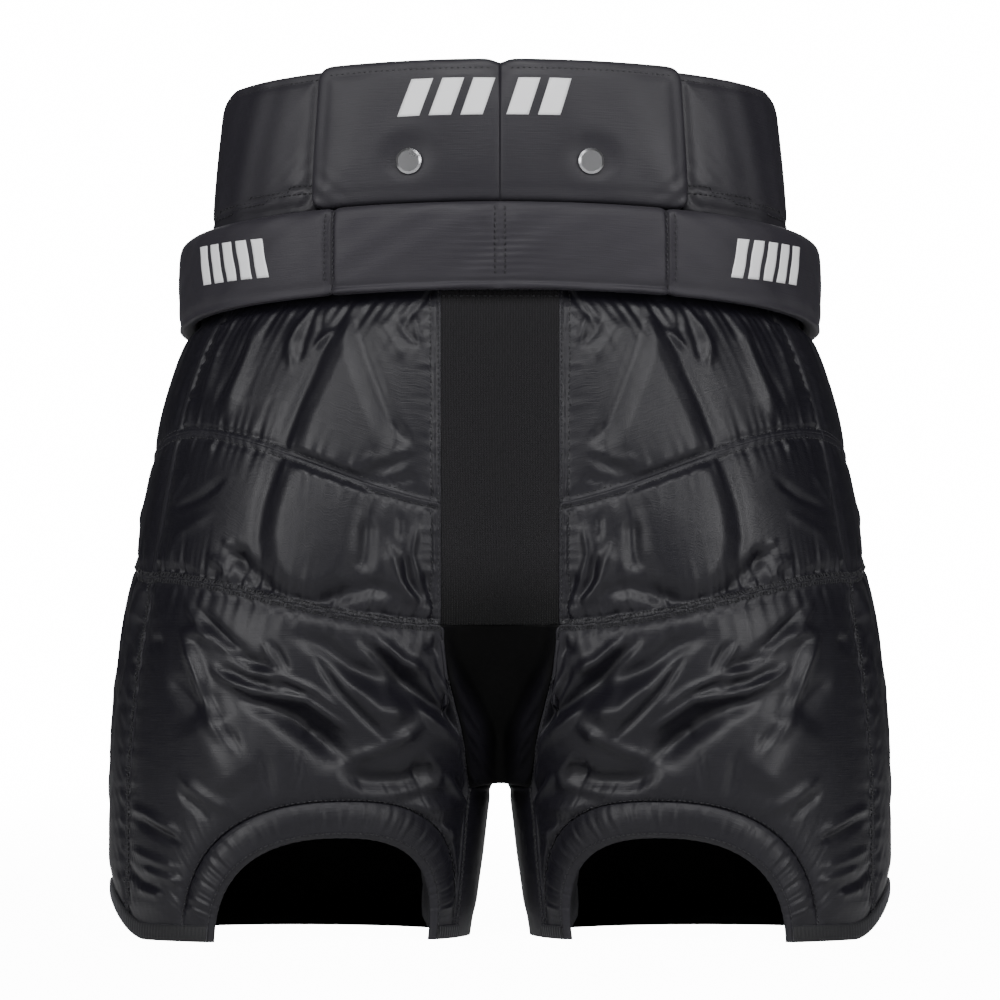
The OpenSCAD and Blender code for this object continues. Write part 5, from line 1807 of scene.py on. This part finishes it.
def clothMaterial(name, base, worn, rough, threads, weave, crease, sheen, gloss):
    material, tree, shader, place = newMaterial(name)
    # the worn mark gives real wear along seams and edges; on the gusset it marks where the painted shade is
    # lifted
    mark = tree.nodes.new("ShaderNodeAttribute")
    mark.attribute_name = "worn"
    used = placed(tree, wearLitTree, place, Worn=mark.outputs["Fac"], Amount=0.6)
    tree.links.new(mixed(tree, used["Mask"], base, worn), shader.inputs["Base Color"])
    span = tree.nodes.new("ShaderNodeMapRange")
    tree.links.new(used["Tone"], span.inputs["Value"])
    span.inputs["From Min"].default_value, span.inputs["From Max"].default_value = 0.3, 0.7
    span.inputs["To Min"].default_value, span.inputs["To Max"].default_value = rough
    tree.links.new(plus(tree, span.outputs[0], times(tree, used["Mask"], 0.25), clamp=True),
                   shader.inputs["Roughness"])
    if threads:
        cloth = placed(tree, woven, clothChart(tree), Threads=float(threads))
        bumpOf(tree, shader, plus(tree, times(tree, cloth["Height"], 0.12), cloth["Slub"]), weave)
    if crease:
        bumpOf(tree, shader, placed(tree, creases, place, Scale=24.0)["Height"], crease)
    shader.inputs["Specular IOR Level"].default_value = gloss
    shader.inputs["Sheen Weight"].default_value = sheen
    shader.inputs["Sheen Roughness"].default_value = 0.4
    shader.inputs["Sheen Tint"].default_value = (0.8, 0.8, 0.9, 1)
    return material


def knitMaterial():
    material, tree, shader, place = newMaterial("stretchKnit")
    loops = placed(tree, ribs, clothChart(tree), Ribs=560.0)
    used = placed(tree, wearLitTree, place, Worn=0.0, Amount=0.5)
    # painted shade: the knit's colour follows its rib and loop height, darker in the grooves and lighter on the
    # crests; lint specks from the dust mask lighten it too
    ribShadeAndLint = plus(tree, times(tree, loops["Height"], 0.6), times(tree, used["Mask"], 0.5), clamp=True)
    split = tree.nodes.new("ShaderNodeSeparateXYZ")
    tree.links.new(place, split.inputs[0])
    # painted shade: the knit's colour darkens towards its lower end, standing in for the shadow deep in the
    # cleft above the gusset
    high = smoothSpan(tree, split.outputs[2], 0.204, 0.262)  # it darkens towards its lower end
    paintedCleftShade = tree.nodes.new("ShaderNodeMix")
    paintedCleftShade.data_type = "RGBA"
    tree.links.new(high, paintedCleftShade.inputs["Factor"])
    paintedCleftShade.inputs["A"].default_value = (0.0018, 0.0018, 0.0021, 1)
    tree.links.new(mixed(tree, ribShadeAndLint, (0.006, 0.0058, 0.0066), (0.021, 0.020, 0.0225)), paintedCleftShade.inputs["B"])
    tree.links.new(paintedCleftShade.outputs["Result"], shader.inputs["Base Color"])
    tree.links.new(plus(tree, 0.86, times(tree, used["Tone"], 0.1)), shader.inputs["Roughness"])
    bumpOf(tree, shader, loops["Height"], 0.0005)
    shader.inputs["Specular IOR Level"].default_value = 0.18
    shader.inputs["Sheen Weight"].default_value = 0.12
    shader.inputs["Sheen Roughness"].default_value = 0.5
    return material


hardFinishes = {
    # colour, worn colour, roughness, metallic, depth of the grain
    "guardPlastic": ((0.05, 0.05, 0.055), (0.12, 0.12, 0.12), 0.38, 0.0, 0.00006),
    "buttonPlastic": ((0.02, 0.02, 0.022), (0.07, 0.07, 0.07), 0.3, 0.0, 0.00004),
    "satinSteel": ((0.60, 0.60, 0.62), (0.36, 0.36, 0.37), 0.2, 1.0, 0.00003),
}


def hardMaterial(name, base, worn, rough, metal, grain):
    material, tree, shader, place = newMaterial(name)
    used = placed(tree, wearLitTree, place, Worn=0.35, Amount=0.7)
    tree.links.new(mixed(tree, used["Mask"], base, worn), shader.inputs["Base Color"])
    tree.links.new(plus(tree, rough, times(tree, used["Tone"], 0.14)), shader.inputs["Roughness"])
    bumpOf(tree, shader, noiseOf(tree, place, 900.0, 4.0, 0.6), grain)
    shader.inputs["Metallic"].default_value = metal
    return material


def printMaterial():
    material, tree, shader, place = newMaterial("whitePrint")
    used = placed(tree, wearLitTree, place, Worn=0.2, Amount=0.5)
    tree.links.new(mixed(tree, used["Mask"], (0.93, 0.93, 0.95), (0.74, 0.74, 0.76)),
                   shader.inputs["Base Color"])
    tree.links.new(plus(tree, 0.42, times(tree, used["Tone"], 0.15)), shader.inputs["Roughness"])
    return material


materials = {name: clothMaterial(name, **values) for name, values in finishes.items()}
materials["stretchKnit"] = knitMaterial()
for name, values in hardFinishes.items():
    materials[name] = hardMaterial(name, *values)
materials["whitePrint"] = printMaterial()

bySlot = {"shell_nylon": "shellNylon", "belt_nylon": "beltNylon", "pad_nylon": "padNylon",
          "stretch_knit": "stretchKnit",
          "binding_tape": "bindingTape", "lining": "liningMesh", "hook_and_loop": "hookAndLoop",
          "foam": "foamWhite",
          "guard_plastic": "guardPlastic", "button_plastic": "buttonPlastic", "steel": "satinSteel"}
for name, piece in made.items():
    finish = bySlot.get(piece.get("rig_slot"), "threadBlack" if "titching" in name else "whitePrint")
    # the gusset takes the near-black finish of painted shade
    if name == "crotchGusset":
        finish = "gussetCloth"
    piece.data.materials.clear()
    piece.data.materials.append(materials[finish])
slots = {part["node"]: part["material_slot"] for part in frame["record"]["subparts"]}
for name, node in frame["nodes"].items():
    if not node.hide_render:
        finish = materials[bySlot[slots[name]]]
        if node.material_slots:
            for place in node.material_slots:
                place.material = finish
        else:
            node.data.materials.append(finish)
        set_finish(node, slots[name])
print("stage: materials")

# pieces that ride on no body have their placement baked into their meshes
for piece in made.values():
    if piece.get("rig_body") is None:
        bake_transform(piece)

# stage, lights and camera
stageValues = {
    "floorSize": 60.0, "camera": (0.0, -6.0, 0.291), "lens": 322.0,
    "keyPower": 64.0, "sidePower": 42.0, "backPower": 60.0,
    "skyGlow": 16.0, "floorGlow": 13.0, "skyLight": 0.035,
}


def floorMaterial():
    material, tree, shader, place = newMaterial("paleFloor")
    away = tree.nodes.new("ShaderNodeVectorMath")
    away.operation = "LENGTH"
    tree.links.new(place, away.inputs[0])
    far = smoothSpan(tree, away.outputs["Value"], 0.5, 3.5)
    near = tree.nodes.new("ShaderNodeMix")
    near.data_type = "RGBA"
    tree.links.new(far, near.inputs["Factor"])
    tree.links.new(mixed(tree, noiseOf(tree, place, 3.0), (0.80, 0.80, 0.80), (0.84, 0.84, 0.84)),
                   near.inputs["A"])
    near.inputs["B"].default_value = (0, 0, 0, 1)
    tree.links.new(near.outputs["Result"], shader.inputs["Base Color"])
    shader.inputs["Roughness"].default_value = 0.9
    shader.inputs["Specular IOR Level"].default_value = 0.0
    seen = tree.nodes.new("ShaderNodeLightPath").outputs["Is Camera Ray"]
    glow = times(tree, seen, mixValue(tree, far, stageValues["floorGlow"], stageValues["skyGlow"]))
    shader.inputs["Emission Color"].default_value = (1, 1, 1, 1)
    tree.links.new(glow, shader.inputs["Emission Strength"])
    return material


def mixValue(tree, share, a, b):
    return plus(tree, a, times(tree, share, b - a))


bpy.ops.mesh.primitive_plane_add(size=stageValues["floorSize"], location=(0, 0, 0))
floor = bpy.context.object
floor.name = "studioFloor"
floor.data.materials.append(floorMaterial())

world = bpy.data.worlds.new("studioWorld")
bpy.context.scene.world = world
world.use_nodes = True
sky = world.node_tree
background = sky.nodes["Background"]
path = sky.nodes.new("ShaderNodeLightPath")
strength = mixValue(sky, path.outputs["Is Camera Ray"], stageValues["skyLight"], stageValues["skyGlow"])
sky.links.new(strength, background.inputs["Strength"])
background.inputs["Color"].default_value = (1, 1, 1, 1)


def softLight(name, place, target, size, power):
    data = bpy.data.lights.new(name, "AREA")
    data.shape = "RECTANGLE"
    data.size, data.size_y = size
    data.energy = power
    lamp = bpy.data.objects.new(name, data)
    bpy.context.scene.collection.objects.link(lamp)
    lamp.location = place
    aim = np.array(target, float) - np.array(place, float)
    lamp.rotation_euler = Vector(aim).to_track_quat("-Z", "Y").to_euler()
    return lamp


softLight("keyLight", (0.0, -2.3, 2.3), (0, 0, 0.45), (2.4, 1.2), stageValues["keyPower"])
softLight("sideLightLeft", (-2.4, -2.2, 1.1), (0, 0, 0.35), (0.9, 1.6), stageValues["sidePower"])
softLight("sideLightRight", (2.4, -2.2, 1.1), (0, 0, 0.35), (0.9, 1.6), stageValues["sidePower"])
softLight("backLight", (0.0, 3.0, 2.2), (0, 0, 0.3), (2.4, 1.4), stageValues["backPower"])

cameraData = bpy.data.cameras.new("studioCamera")
cameraData.lens = stageValues["lens"]
cameraData.sensor_width = 36
camera = bpy.data.objects.new("studioCamera", cameraData)
bpy.context.scene.collection.objects.link(camera)
camera.location = stageValues["camera"]
camera.rotation_euler = (math.radians(90), 0, 0)
bpy.context.scene.camera = camera
